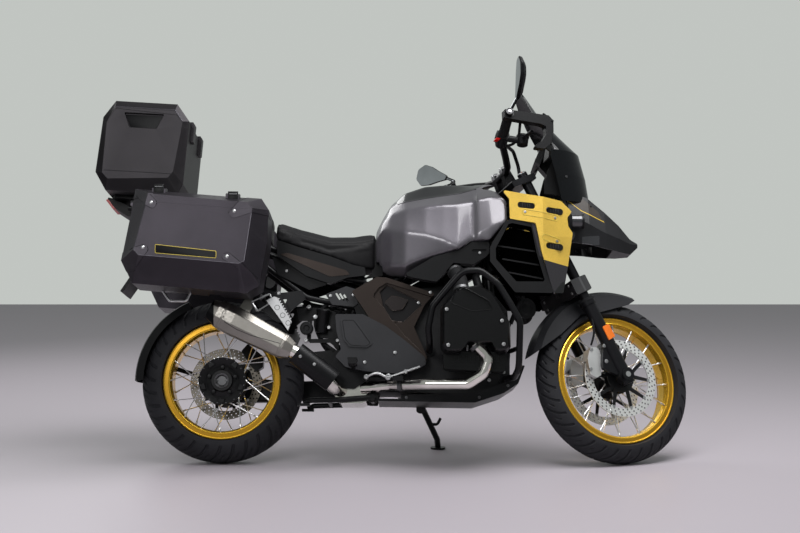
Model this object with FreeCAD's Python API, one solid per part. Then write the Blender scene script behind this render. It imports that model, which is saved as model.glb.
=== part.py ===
"""Adventure touring motorcycle with a flat twin engine, spoked wheels and three aluminium cases.

Everything is modelled upright, in millimetres, X forward from the rear axle, Y to the rider's left and Z up
from the ground.  At the end the machine is parked: the steering is turned, the machine leans on its side
stand, and both tyres and the stand's foot meet the floor at Z = 0.
"""

import FreeCAD, Part
import math
import os

V = FreeCAD.Vector
X_AXIS, Y_AXIS, Z_AXIS = V(1, 0, 0), V(0, 1, 0), V(0, 0, 1)

# Chassis geometry
wheelbase = 1534.0
rake = 26.2
trail = 118.8
lean_angle = 12.0
steer_at_rest = 23.0
running_gap = 0.3

# Tyres and rims
front_radius = 325.3
front_width = 120.0
front_bead = 241.3
front_rim_width = 84.0
rear_radius = 317.9
rear_width = 170.0
rear_bead = 215.9
rear_rim_width = 122.0
tyre_wall = 9.0
flange_height = 13.5
rim_wall = 7.0
rim_well = 13.0
spoke_radius = 2.2
spoke_pairs = 16

# Hubs and brakes
front_hub_radius = 34.0
front_hub_width = 104.0
front_hub_flange = 56.0
front_axle_bore = 11.0
front_axle_radius = 16.0
rear_hub_radius = 62.0
rear_hub_flange = 92.0
rear_hub_bore = 26.0
disc_thickness = 5.0
front_disc_radius = 155.0
front_disc_inner = 122.0
front_disc_y = 72.0
caliper_slot = 15.2
rear_disc_radius = 142.5
rear_disc_inner = 108.0
rear_disc_y = 88.0

# Fork and handlebar
leg_spacing = 216.0
leg_radius = 20.0
slider_radius = 27.0
slider_length = 335.0
spindle_half = 138.0
lower_bridge_at = 392.0
lower_bridge_thickness = 62.0
top_bridge_at = 862.0
bridge_thickness = 26.0
head_low = 768.0
head_high = 838.0
stem_radius = 15.0
ball_joint_at = 448.0
ball_pin = 11.0
bar_radius = 14.0
grip_radius = 18.0
bar_half_width = 430.0
riser_y = 38.0
riser_width = 26.0
riser_clearance = 61.0
hose_radius = 7.0
mirror_foot = V(992, 284, 1196)
mirror_stem = 6.0
mirror_depth = 26.0
guard_gap = 24.0
guard_skirt = 76.0
front_guard_half = 70.0
front_guard_start = 74.0
front_guard_sweep = 94.0
steering_clearance = 162.0

# Body
screen_thickness = 4.0
panel_slot_size = (66, 24)
panel_slots = [(1177, 980), (1286, 960), (1284, 820)]
lamp_half = 72.0
fog_y = 185.0
fog_radius = 25.0
cover_inner_y = 136.0
rack_thickness = 12.0
rack_height = 1010.0
rack_tilt = 4.4
peg_plate_y = 200.0

# Cases
case_wall = 2.5
case_half_width = 215.0
pannier_inner_y = 236.0
pannier_outer_y = 482.0
pannier_bevel = 74.0
case_bevel = 17.0
recess_depth = 14.0
lid_gap = 0.4
latch_height = 13.0
corner_plate = 1.6
bail_radius = 5.0
knuckle_radius = 6.0
knuckle_length = 22.0

# Engine
crank_height = 530.0
cylinder_x = 985.0
cylinder_reach = 372.0
barrel_start = 152.0
cover_depth = 62.0
engine_half = 118.0
frame_plate = 18.0
skid_half = 153.0
guard_tube = 12.5
header_radius = 20.0
link_radius = 27.0
silencer_rise = 26.5
silencer_length = 318.0
silencer_height = 112.0
silencer_width = 108.0
silencer_clearance = 8.0
silencer_front = V(284, -226, 418)

# Stands
stand_leg_radius = 12.0
stand_eye = 26.0
stand_bolt = 8.0
stand_foot_x = 854.0
stand_foot_y = 362.0
stand_foot_radius = 31.0
stand_foot_thickness = 7.0
side_stand_pivot = V(781, 176, 244)
centre_pin = 11.0
pin_fit = 0.05
centre_pivot = V(590, 0, 250)
rear_guard_half = 78.0
rear_guard_start = 114.0
rear_guard_sweep = 66.0

# Lid hinges
top_hinge = V(-481.5, 0, 1304)
pannier_hinge = V(-313.5, 340, 947)

RAKE = math.radians(rake)
steer_dir = V(-math.sin(RAKE), 0, math.cos(RAKE))
steer_ground = V(wheelbase + trail, 0, 0)
axle_offset = front_radius * math.sin(RAKE) - trail * math.cos(RAKE)
rear_axle = V(0, 0, rear_radius)
front_axle = V(wheelbase, 0, front_radius)


def mirror(shape):
    """The same shape on the other side of the machine."""
    return shape.mirror(V(0, 0, 0), Y_AXIS)


def both(shape):
    """A shape and its mirror image, as two solids of one node."""
    return Part.makeCompound([shape, mirror(shape)])


def corner_path(points, radii, closed):
    """Edges of a polyline whose corners are rounded with tangent arcs."""
    count = len(points)
    if not hasattr(radii, "__len__"):
        radii = [radii] * count
    starts, ends, arcs = [None] * count, [None] * count, [None] * count
    for i, point in enumerate(points):
        if not closed and i in (0, count - 1):
            starts[i] = ends[i] = point
            continue
        before = (points[i - 1] - point)
        after = (points[(i + 1) % count] - point)
        one, two = V(before).normalize(), V(after).normalize()
        half = one.getAngle(two) / 2
        radius = radii[i]
        back = radius / math.tan(half) if radius else 0
        limit = 0.48 * min(before.Length, after.Length)
        if back > limit:
            back = limit
            radius = back * math.tan(half)
        if radius < 0.01 or abs(half - math.pi / 2) < 1e-4:
            starts[i] = ends[i] = point
            continue
        starts[i], ends[i] = point + one * back, point + two * back
        middle = (one + two).normalize()
        arcs[i] = point + middle * (radius / math.sin(half) - radius)
    edges = []
    for i in range(count):
        if arcs[i] is not None:
            edges.append(Part.Arc(starts[i], arcs[i], ends[i]).toShape())
        if i + 1 < count or closed:
            nxt = (i + 1) % count
            if (ends[i] - starts[nxt]).Length > 1e-6:
                edges.append(Part.LineSegment(ends[i], starts[nxt]).toShape())
    return edges


def side_wire(outline, y, radii=0.0):
    """A closed wire at one Y, from (x, z) points."""
    return Part.Wire(corner_path([V(x, y, z) for x, z in outline], radii, True))


def cross_wire(outline, x, radii=0.0):
    """A closed wire at one X, from (y, z) points."""
    return Part.Wire(corner_path([V(x, y, z) for y, z in outline], radii, True))


def plan_wire(outline, z, radii=0.0):
    """A closed wire at one Z, from (x, y) points."""
    return Part.Wire(corner_path([V(x, y, z) for x, y in outline], radii, True))


def prism(outline, y0, y1, radii=0.0):
    """An (x, z) outline extruded from y0 to y1."""
    return Part.Face(side_wire(outline, y0, radii)).extrude(V(0, y1 - y0, 0))


def slab(outline, z0, z1, radii=0.0):
    """An (x, y) outline extruded from z0 to z1."""
    return Part.Face(plan_wire(outline, z0, radii)).extrude(V(0, 0, z1 - z0))


def block(x0, x1, y0, y1, z0, z1):
    """A plain box between two corners."""
    return Part.makeBox(x1 - x0, y1 - y0, z1 - z0, V(x0, y0, z0))


def loft(wires, ruled=True):
    """A solid through closed wires."""
    return Part.makeLoft(wires, True, ruled)


def rod(start, end, radius):
    """A round bar between two points."""
    return Part.makeCylinder(radius, (end - start).Length, start, end - start)


def hex_rod(start, end, radius):
    """A six-sided bar between two points."""
    along = (end - start).normalize()
    side = along.cross(X_AXIS if abs(along.x) < 0.9 else Z_AXIS).normalize()
    up = along.cross(side)
    corners = []
    for i in range(6):
        a = math.pi / 3 * i
        corners.append(start + side * (radius * math.cos(a)) + up * (radius * math.sin(a)))
    return Part.Face(Part.makePolygon(corners + [corners[0]])).extrude(end - start)


def tube(points, radius, bend):
    """A bent round bar along a polyline with tangent bends."""
    path = Part.Wire(corner_path(points, bend, False))
    profile = Part.Wire(Part.makeCircle(radius, points[0], points[1] - points[0]))
    return path.makePipeShell([profile], True, False)


def turned(profile):
    """A ring turned about the Y axis from (radius, y) points."""
    points = [V(r, y, 0) for r, y in profile]
    return Part.Face(Part.Wire(corner_path(points, 0, True))).revolve(V(0, 0, 0), Y_AXIS, 360)


def pipe_ring(outer, inner, y0, y1):
    """A plain ring about the Y axis."""
    ring = Part.makeCylinder(outer, y1 - y0, V(0, y0, 0), Y_AXIS)
    return ring.cut(Part.makeCylinder(inner, y1 - y0 + 2, V(0, y0 - 1, 0), Y_AXIS))


def moved(shape, offset):
    """A copy of a shape, shifted."""
    copy = shape.copy()
    copy.translate(offset)
    return copy


def fused(pieces):
    """One solid from pieces that touch."""
    whole = pieces[0].fuse(pieces[1:]) if len(pieces) > 1 else pieces[0]
    return whole.removeSplitter()


def along_steering(distance, forward=0.0, y=0.0):
    """A point in the fork: a distance up from the front axle's level, along the steering axis."""
    ahead = V(math.cos(RAKE), 0, math.sin(RAKE))
    foot = front_axle - ahead * axle_offset
    return foot + steer_dir * distance + ahead * forward + V(0, y, 0)


# Wheels


def tyre(radius, width, bead, rim_width):
    """A tyre: round crown, side walls and beads, open inside towards the rim."""
    crown = width / 2
    centre = radius - crown
    half = rim_width / 2
    lip = bead + flange_height
    bead_inner = bead + running_gap

    def half_profile(thick):
        toe = V(bead_inner, half - rim_wall - 1 - 2 * thick, 0)
        neck = V(lip + 0.7, half - 4.7 - 1.2 * thick, 0)
        shoulder = V(lip + 2.5 + 0.5 * thick, half - 0.5 - thick, 0)
        return [toe, neck, shoulder, V(centre, crown - thick, 0)], V(centre + crown - thick, 0, 0)

    def flip(points):
        return [V(p.x, -p.y, 0) for p in points]

    def chain(points):
        return [Part.LineSegment(a, b).toShape() for a, b in zip(points, points[1:])]

    outer, top = half_profile(0)
    inner, under = half_profile(tyre_wall)
    edges = chain(outer) + chain(flip(outer)) + chain(inner) + chain(flip(inner))
    edges += [
        Part.Arc(flip(outer)[3], top, outer[3]).toShape(),
        Part.Arc(flip(inner)[3], under, inner[3]).toShape(),
        Part.LineSegment(outer[0], inner[0]).toShape(),
        Part.LineSegment(flip(outer)[0], flip(inner)[0]).toShape(),
    ]
    return Part.Face(Part.Wire(Part.__sortEdges__(edges))).revolve(V(0, 0, 0), Y_AXIS, 360)


def rim(bead, rim_width):
    """A spoked rim: two raised flanges, bead seats and a drop centre."""
    half = rim_width / 2
    lip = bead + flange_height
    well = bead - rim_well
    profile = [
        (lip, half),
        (lip, half - 4),
        (bead, half - rim_wall),
        (bead, half - 17),
        (well, half - 25),
        (well, -half + 25),
        (bead, -half + 17),
        (bead, -half + rim_wall),
        (lip, -half + 4),
        (lip, -half),
        (bead - 9, -half - 1),
        (bead - 14, -half + 6),
        (well - rim_wall, -half + 22),
        (well - rim_wall, half - 22),
        (bead - 14, half - 6),
        (bead - 9, half + 1),
    ]
    return turned(profile)


def spoke_ends(bead, rim_width, flange, flange_y):
    """Ends of the crossed spokes: from a hub flange to the rim's edge on the same side."""
    step = 360.0 / (2 * spoke_pairs)
    for side in (-1, 1):
        for i in range(spoke_pairs):
            lead = 26.0 if i % 2 else -26.0
            at_rim = math.radians(i * 2 * step + (step if side > 0 else 0))
            at_hub = at_rim + math.radians(lead)
            outer = bead - 14
            yield (
                V(flange * math.cos(at_hub), side * flange_y, flange * math.sin(at_hub)),
                V(outer * math.cos(at_rim), side * (rim_width / 2 - 7), outer * math.sin(at_rim)),
            )


def spokes(bead, rim_width, flange, flange_y):
    """Crossed spokes as thin bars that start inside the hub flange."""
    bars = []
    for inner, outer in spoke_ends(bead, rim_width, flange - 4, flange_y):
        along = (outer - inner).normalize()
        bars.append(hex_rod(inner, outer - along * running_gap, spoke_radius))
    return bars


def front_hub():
    """Front hub with its spoke flanges, disc carriers' seat and hollow spindle."""
    half = front_hub_width / 2
    flange_y = half - 10
    body = Part.makeCylinder(front_hub_radius, front_hub_width, V(0, -half, 0), Y_AXIS)
    pieces = [body]
    for side in (-1, 1):
        y = side * flange_y
        pieces.append(Part.makeCylinder(front_hub_flange, 8, V(0, y - 4, 0), Y_AXIS))
    pieces += spokes(front_bead, front_rim_width, front_hub_flange, flange_y)
    hub = fused(pieces)
    return hub.cut(Part.makeCylinder(front_axle_radius + 0.05, 300, V(0, -150, 0), Y_AXIS))


def rear_hub():
    """Rear hub, open through its middle, with the bolt ring that faces the right side."""
    body = turned(
        [
            (rear_hub_bore, -66),
            (rear_hub_bore + 14, -66),
            (rear_hub_bore + 18, -48),
            (rear_hub_radius, -40),
            (rear_hub_flange, -52),
            (rear_hub_flange, -42),
            (rear_hub_radius + 6, -26),
            (rear_hub_radius + 6, 34),
            (rear_hub_flange, 42),
            (rear_hub_flange, 50),
            (rear_hub_radius, 56),
            (rear_hub_radius, 70),
            (rear_hub_bore, 70),
        ]
    )
    pieces = [body] + spokes(rear_bead, rear_rim_width, rear_hub_flange, 46)
    return fused(pieces)


def disc_carrier_arms(inner, outer, thickness, y, count, width):
    """Arms that carry a brake disc on its hub."""
    arms = []
    for i in range(count):
        bar = block(inner, outer, y - thickness / 2, y + thickness / 2, -width / 2, width / 2)
        bar.rotate(V(0, 0, 0), Y_AXIS, i * 360.0 / count)
        arms.append(bar)
    return arms


def brake_disc(radius, inner, hub_radius, y, count):
    """A brake disc with its carrier."""
    half = disc_thickness / 2
    ring = pipe_ring(radius, inner, y - half, y + half)
    centre = pipe_ring(hub_radius + 14, hub_radius - 6, y - half, y + half)
    arms = disc_carrier_arms(hub_radius + 6, inner + 4, disc_thickness, y, count, 20)
    return fused([ring, centre] + arms)


def front_discs():
    """The two front discs, each on its own side of the hub."""
    right = brake_disc(front_disc_radius, front_disc_inner, front_hub_radius + 8, -front_disc_y, 5)
    seat = pipe_ring(front_hub_radius + 6, front_axle_radius + 2, -front_disc_y - 2.5, -front_hub_width / 2)
    right = right.fuse(seat).removeSplitter()
    return both(right)


def rear_disc():
    """The rear disc, on the left of the hub."""
    disc = brake_disc(rear_disc_radius, rear_disc_inner, rear_hub_radius, rear_disc_y, 5)
    seat = pipe_ring(rear_hub_radius, rear_hub_radius - 12, 70, rear_disc_y + 2)
    return disc.fuse(seat).removeSplitter()


# Fork, bars and what turns with them


def fork_leg(side):
    """One leg: inner tube, slider, its axle boss and the caliper lug."""
    y = side * leg_spacing / 2
    forward = axle_offset
    upper = rod(along_steering(0, forward, y), along_steering(top_bridge_at + 30, forward, y), leg_radius)
    lower = rod(along_steering(-34, forward, y), along_steering(slider_length, forward, y), slider_radius)
    collar = rod(
        along_steering(slider_length - 26, forward, y),
        along_steering(slider_length, forward, y),
        slider_radius + 4,
    )
    boss = Part.makeCylinder(slider_radius + 6, 34, V(front_axle.x, y - 17, front_axle.z), Y_AXIS)
    lug_points = [(-24, -6), (-96, 20), (-98, 44), (-90, 110), (-60, 130), (-18, 120)]
    lug = prism(
        [(front_axle.x + dx, front_axle.z + dz) for dx, dz in lug_points],
        y - 9,
        y + 9,
        8,
    )
    return fused([upper, lower, collar, boss, lug])


def front_spindle():
    """The spindle through the hub and both legs, with its head and its nut."""
    bar = Part.makeCylinder(front_axle_radius, 2 * spindle_half, V(wheelbase, -spindle_half, front_radius), Y_AXIS)
    ends = [
        Part.makeCylinder(front_axle_radius + 8, 8, V(wheelbase, y, front_radius), Y_AXIS)
        for y in (-spindle_half, spindle_half - 8)
    ]
    return fused([bar] + ends)


def fork():
    """Both legs with the lower and upper bridges, the spindle and the two steering pins."""
    pieces = [fork_leg(1), fork_leg(-1)]
    for distance, thick, back, front in (
        (lower_bridge_at, lower_bridge_thickness, -44, 30),
        (top_bridge_at, bridge_thickness, -78, 34),
    ):
        half = leg_spacing / 2 + leg_radius + 10
        corners = [
            along_steering(distance + up * thick / 2, axle_offset + forward)
            for up, forward in ((-1, back), (-1, front), (1, front), (1, back))
        ]
        pieces.append(prism([(p.x, p.z) for p in corners], -half, half, 6))
    pieces.append(front_spindle())
    pieces.append(rod(along_steering(lower_bridge_at), along_steering(ball_joint_at + 18), ball_pin))
    pieces.append(rod(along_steering(head_low - 8), along_steering(top_bridge_at), stem_radius))
    start = V(wheelbase, -spindle_half - 2, front_radius)
    return fused(pieces).cut(Part.makeCylinder(front_axle_bore, 2 * spindle_half + 4, start, Y_AXIS))


bar_points = [
    V(943, bar_half_width, 1217),
    V(985, 262, 1186),
    V(1050, 155, 1166),
    V(1082, 100, 1152),
    V(1096, 56, 1148),
    V(1096, 0, 1148),
]


def handlebar():
    """The wide tube in its clamps on the top bridge, with the grips, switch boxes, levers and the brake hose."""
    path = bar_points + [V(p.x, -p.y, p.z) for p in reversed(bar_points[:-1])]
    pieces = [tube(path, bar_radius, 45)]
    along = (bar_points[0] - bar_points[1]).normalize()
    for side in (1, -1):
        def here(p):
            return V(p.x, side * p.y, p.z)

        end, start = bar_points[0] + along * 6, bar_points[0] - along * 135
        pieces.append(rod(here(start), here(end), grip_radius))
        switch_end = bar_points[0] - along * 185
        pieces.append(rod(here(switch_end), here(start), grip_radius + 7))
        clamp_end = bar_points[0] - along * 205
        pieces.append(rod(here(clamp_end), here(switch_end), grip_radius + 2))
        lever = [
            here(clamp_end + V(18, 0, -6)),
            here(switch_end + V(52, 0, -4)),
            here(start + V(66, 0, -2)),
            here(bar_points[0] + V(58, -22, 0)),
        ]
        pieces.append(tube(lever, 5.5, 30))
        riser = [(1078, 1166), (1114, 1166), (1150, 1106), (1104, 1084)]
        pieces.append(prism(riser, side * riser_y - riser_width / 2, side * riser_y + riser_width / 2, 6))
    hose = [V(1000, -232, 1196), V(1100, -124, 1212), V(1136, -86, 1170), V(1146, -80, 1106)]
    pieces.append(tube(hose, hose_radius, 30))
    return fused(pieces)


def handguard(side):
    """A guard: a hooked band from the grip's end round the hand, the shield in front and its bracket."""
    end = bar_points[0]
    band = [
        (end.x - 22, end.z + 15), (1059, 1231), (1106, 1231), (1124, 1212), (1122, 1165), (1108, 1116), (1080, 1090),
        (1040, 1090), (1050, 1106), (1072, 1120), (1090, 1150), (1092, 1184), (1070, 1191), (end.x - 22, end.z - 21),
    ]
    plate = prism(band, bar_half_width - 18, bar_half_width + 8, 6)
    rows = []
    for z, reach in ((1096, -6), (1150, 6), (1200, 8), (1240, -4)):
        outer = [(1092, 4), (1126, -22), (1148, -76), (1150, -128)]
        inner = [(1145, -128), (1142, -75), (1121, -26), (1088, -2)]
        rows.append(plan_wire([(x + reach, bar_half_width + y) for x, y in outer + inner], z))
    bracket = tube([V(994, 250, 1188), V(1090, 264, 1196), V(1146, 320, 1190)], 7, 30)
    whole = fused([plate, loft(rows), bracket]).cut(handlebar_solid)
    whole = sorted(whole.Solids, key=lambda s: -s.Volume)[0]
    return whole if side > 0 else mirror(whole)


def mirror_head(elbow, inner, outer):
    """A mirror: its stem from the switch box, and a drop-shaped shell whose glass faces the rider."""
    foot = V(mirror_foot.x, math.copysign(mirror_foot.y, elbow.y), mirror_foot.z)
    along = (outer - inner).normalize()
    length = (outer - inner).Length
    back = V(-1, 0, 0.12)
    facing = (back - along * back.dot(along)).normalize()
    across = facing.cross(along)
    middle = inner + along * (length * 0.55)
    half_drop = [(0, 9), (0.27, 23), (0.54, 40), (0.8, 47), (1, 22)]
    drop = [(u, -v) for u, v in half_drop] + half_drop[::-1]

    def ring(scale, depth):
        points = [
            middle + along * ((u - 0.55) * length * scale) + across * (v * scale) - facing * depth for u, v in drop
        ]
        return Part.Wire(corner_path(points, 16, True))

    shell = loft([ring(0.97, 0), ring(1.0, 5), ring(0.95, 14), ring(0.68, mirror_depth)])
    stem = tube([foot, elbow, inner + along * 14 - facing * 9], mirror_stem, 14)
    return fused([shell, stem, rod(foot, foot + (elbow - foot) * 0.7, mirror_stem + 6)])


def front_mudguard():
    """The arched front mudguard, hung between the legs, its skirts cut to a pointed tail and a short peak."""
    inner = front_radius + guard_gap
    half = front_guard_half
    outer = [(inner - guard_skirt, half), (inner - 4, half - 6), (inner + 14, half - 32), (inner + 20, 0)]
    under = [(inner + 16, 0), (inner + 10, half - 35), (inner - 5, half - 10), (inner - guard_skirt, half - 4)]
    rows = outer + [(r, -y) for r, y in reversed(outer[:-1])] + [(r, -y) for r, y in reversed(under[1:])] + under
    section = Part.Face(Part.Wire(corner_path([V(r, y, 0) for r, y in rows], 0, True)))
    arch = section.revolve(V(0, 0, 0), Y_AXIS, -front_guard_sweep)
    arch.rotate(V(0, 0, 0), Y_AXIS, -front_guard_start)
    edge = [
        (-430, 40), (-372, 66), (-244, 162), (-149, 250), (-62, 267), (66, 310), (104, 336), (180, 320), (180, -20),
        (-430, -20),
    ]
    arch = arch.cut(prism(edge, -half - 10, half + 10))
    arch.translate(front_axle)
    return arch


def front_caliper(side):
    """A caliper astride the disc, on its lug behind the leg."""
    y0, y1 = front_disc_y - 22, leg_spacing / 2 - 9
    outline = [(-146, 0), (-118, -14), (-98, -2), (-96, 96), (-112, 112), (-140, 104), (-152, 60)]
    body = prism([(front_axle.x + dx, front_axle.z + dz) for dx, dz in outline], y0, y1, 6)
    swept = V(front_axle.x, front_disc_y - caliper_slot / 2, front_axle.z)
    body = body.cut(Part.makeCylinder(front_disc_radius + 6, caliper_slot, swept, Y_AXIS))
    body = body.cut(fork_solid if side > 0 else mirror(fork_solid))
    body = sorted(body.Solids, key=lambda s: -s.Volume)[0]
    return body if side > 0 else mirror(body)


# Engine and running gear


def engine_block():
    """Crankcase with the gearbox below the crankshaft, the cylinders' bores and the stands' brackets."""
    case = prism(
        [
            (560, 318), (612, 272), (1050, 264), (1110, 300), (1122, 420), (1112, 590), (1050, 668),
            (900, 690), (700, 668), (590, 590), (548, 450),
        ],
        -engine_half,
        engine_half,
        24,
    )
    barrels = Part.makeCylinder(106, 2 * barrel_start, V(cylinder_x, -barrel_start, crank_height), Y_AXIS)
    lugs = [prism([(566, 316), (618, 290), (608, 234), (572, 234)], y, y + 12, 6) for y in (-102, 90)]
    pin = Part.makeCylinder(centre_pin + pin_fit, 300, V(centre_pivot.x, -150, centre_pivot.z), Y_AXIS)
    return fused([case, barrels, side_stand_bracket()] + [lug.cut(pin) for lug in lugs])


def side_stand_bracket():
    """The side stand's bracket below the crankcase: an arm, a lug square to the hinge and the hinge bolt."""
    axis = place.Rotation.inverted().multVec(stand_axis(place))
    up = axis.cross(X_AXIS)
    up = up if up.z > 0 else up * -1
    seat = side_stand_pivot - axis * (stand_eye / 2 + running_gap)
    back = seat - axis * 16
    edge = [seat - axis * 2, seat - axis * 2 + up * 19, V(0, 122, 300), V(0, engine_half - 2, 330),
            V(0, engine_half - 2, 268), back + up * 8, back]
    arm = cross_prism([(p.y, p.z) for p in edge], side_stand_pivot.x - 17, side_stand_pivot.x + 17)
    outside = side_stand_pivot + axis * (stand_eye / 2 + running_gap)
    head = rod(outside, outside + axis * 7, 13)
    return fused([rod(back, seat, 19), arm, rod(seat - axis * 4, outside + axis * 2, stand_bolt), head])


def cross_prism(outline, x0, x1, radii=0.0):
    """A (y, z) outline extruded from x0 to x1."""
    return Part.Face(cross_wire(outline, x0, radii)).extrude(V(x1 - x0, 0, 0))


def cylinder(side):
    """One cylinder with its cooling ribs, its head, the exhaust port below and the large valve cover."""
    barrel = Part.makeCylinder(86, 74, V(cylinder_x, barrel_start, crank_height), Y_AXIS)
    ribs = [
        Part.makeCylinder(100, 4, V(cylinder_x, barrel_start + 8 + i * 12, crank_height), Y_AXIS)
        for i in range(5)
    ]
    outline = [
        (846, 424), (864, 400), (922, 400), (946, 434), (1040, 434), (1056, 400), (1092, 402), (1110, 424),
        (1108, 515), (1080, 568), (1042, 630), (990, 660), (928, 650), (880, 616), (846, 575),
    ]
    cx, cz = 985, 530

    def scaled(share, y):
        return side_wire([(cx + (x - cx) * share, cz + (z - cz) * share) for x, z in outline], y, 14)

    rim_y = cylinder_reach - cover_depth
    head = loft([scaled(0.93, barrel_start + 68), scaled(0.98, barrel_start + 92), scaled(0.98, rim_y)])
    cover = loft([scaled(1.0, rim_y), scaled(1.0, rim_y + 12), scaled(0.95, cylinder_reach - 10),
                  scaled(0.90, cylinder_reach)])
    scoop = prism([(882, 588), (904, 630), (934, 640), (1024, 592), (1038, 562), (962, 556)],
                  cylinder_reach - 8, cylinder_reach + 4, 12)
    bosses = [
        Part.makeCylinder(11, 30, V(x, cylinder_reach - 28, z), Y_AXIS)
        for x, z in ((868, 560), (1074, 518), (1080, 430), (874, 426))
    ]
    port = prism([(860, 344), (1090, 334), (1100, 410), (856, 410)], barrel_start + 60, rim_y - 14, 12)
    whole = fused([barrel, head, cover.cut(scoop), port] + ribs + bosses)
    return whole if side > 0 else mirror(whole)


def skid_plate():
    """The engine's guard plate, folded up at the front and open on top."""
    plate = prism(
        [
            (612, 234), (984, 230), (1092, 266), (1150, 304), (1176, 374), (1164, 374), (1138, 312),
            (1086, 276), (982, 240), (612, 244),
        ],
        -skid_half,
        skid_half,
        3,
    )
    wall = [(700, 238), (984, 234), (1088, 270), (1142, 306), (1164, 368), (1092, 306), (990, 270), (700, 258)]
    walls = [prism(wall, skid_half - 3, skid_half, 2), prism(wall, -skid_half, 3 - skid_half, 2)]
    return fused([plate] + walls)


def engine_guard(side):
    """The tubular guard round one cylinder, from the front engine mount back to the crankcase."""
    loop = [
        V(1100, engine_half + 1, 322),
        V(1100, 156, 322),
        V(1130, 214, 322),
        V(1139, 330, 345),
        V(1142, 372, 515),
        V(1106, 372, 582),
        V(1060, 370, 658),
        V(993, 366, 710),
        V(928, 360, 706),
        V(884, 352, 658),
        V(816, 340, 576),
        V(800, 330, 494),
        V(806, 296, 446),
        V(808, 190, 432),
        V(808, engine_half + 1, 432),
    ]
    bar = tube(loop, guard_tube, 55)
    feet = [
        Part.makeCylinder(22, 8, V(x, engine_half, z), Y_AXIS) for x, z in ((1100, 322), (808, 432), (1096, 424))
    ]
    brace = tube([V(1140, 346, 420), V(1118, 200, 424), V(1096, 176, 424), V(1096, engine_half + 1, 424)], 9, 20)
    whole = fused([bar, brace] + feet)
    return whole if side > 0 else mirror(whole)


def suspension():
    """The wishbone with its ball joint under the lower bridge, the front spring and the rear spring."""
    tip = along_steering(ball_joint_at)
    arms = [rod(V(1060, side * 92, 742), tip + V(0, side * 10, 0), 13) for side in (1, -1)]
    pivot = Part.makeCylinder(19, 2 * 104, V(1060, -104, 742), Y_AXIS)
    head = rod(along_steering(ball_joint_at - 17), along_steering(ball_joint_at + 17), 24)
    cross = rod(V(1160, -58, 729), V(1160, 58, 729), 13)
    wishbone = fused(arms + [pivot, head, cross])
    wishbone = wishbone.cut(rod(along_steering(lower_bridge_at), along_steering(ball_joint_at + 60), ball_pin + pin_fit))
    front = spring_strut(V(1160, 0, 735), V(1064, 0, 948), 27)
    rear = spring_strut(V(452, 30, 370), V(520, 30, 640), 33)
    return Part.makeCompound([wishbone, front.cut(wishbone), rear])


def spring_strut(low, high, radius):
    """A damper with a coil of rings between its two plates."""
    along = (high - low).normalize()
    length = (high - low).Length
    pieces = [rod(low, high, radius * 0.45)]
    pieces.append(rod(low + along * 0.14 * length, low + along * 0.2 * length, radius))
    pieces.append(rod(high - along * 0.2 * length, high - along * 0.12 * length, radius))
    turns = 7
    for i in range(turns):
        at = low + along * length * (0.24 + 0.5 * i / (turns - 1))
        pieces.append(rod(at - along * 4, at + along * 4, radius * 0.94))
    return fused(pieces)


def exhaust_pipes():
    """Header pipes from both heads, the collector under the gearbox and the link to the silencer."""
    pieces = []
    for side in (-1, 1):
        path = [
            V(978, side * 318, 436),
            V(1028, side * 322, 384),
            V(1008, side * 318, 326),
            V(950, side * 300, 288),
            V(790, side * 258, 290),
            V(660, side * 150, 294),
            V(548, side * 112, 284),
        ]
        pieces.append(tube(path, header_radius, 34))
    collector = [(446, 300), (552, 300), (566, 282), (566, 236), (548, 228), (468, 228), (446, 246)]
    pieces.append(prism(collector, -118, 118, 6))
    rise = math.radians(silencer_rise)
    mouth = silencer_front
    inside = mouth + V(-50 * math.cos(rise), 0, 50 * math.sin(rise))
    link = [V(470, -100, 278), V(442, -176, 284), V(400, -214, 336), mouth - (inside - mouth) * 0.6, inside]
    pieces.append(tube(link, link_radius, 40))
    return fused(pieces)


def heat_shield():
    """The dark cover round the link pipe, on two studs."""
    start, end = V(404, -211, 330), silencer_front + V(14, 0, -8)
    along = (end - start).normalize()
    start = start - along * 44
    outer, inner = link_radius + 17, link_radius + 13
    tunnel = rod(start - along * 5, end + along * 5, inner)
    studs = [rod(p, p + V(0, -outer + 1, 0), 6) for p in (start + along * 50, end - along * 16)]
    return fused([rod(start, end, outer).cut(tunnel)] + studs)


def silencer():
    """The tapered silencer, rising towards the rear on the right side, with its end cap and bracket."""
    def section(x, height, width):
        h, w = height / 2, width / 2
        outline = [(-w * 0.7, -h), (w * 0.7, -h), (w, -h * 0.35), (w, h * 0.45), (w * 0.55, h), (-w * 0.55, h),
                   (-w, h * 0.45), (-w, -h * 0.35)]
        return cross_wire(outline, x, 12)

    rear = -silencer_length
    body = loft([section(0, 66, 74), section(-34, 92, 100), section(-250, silencer_height, silencer_width),
                 section(rear, 104, 100)])
    cap = loft([section(rear, 94, 90), section(rear - 34, 74, 72)])
    mouth = Part.makeCylinder(25, 60, V(rear - 50, 0, 0), X_AXIS)
    body = body.fuse(cap).cut(mouth)
    body.rotate(V(0, 0, 0), Y_AXIS, silencer_rise)
    body.translate(silencer_front)
    strap = prism([(60, 560), (104, 540), (150, 640), (120, 655)], -peg_plate_y, 6 - peg_plate_y, 6)
    return body.fuse(strap).removeSplitter()


def silencer_room(grow):
    """The space round the silencer that the right side case is stepped round."""
    reach = silencer_clearance + grow
    room = block(
        -silencer_length - 60 - grow, 40, -silencer_width / 2 - reach, silencer_width / 2 + reach,
        -silencer_height / 2 - reach, silencer_height / 2 + reach,
    )
    room.rotate(V(0, 0, 0), Y_AXIS, silencer_rise)
    room.translate(silencer_front)
    return room


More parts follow.
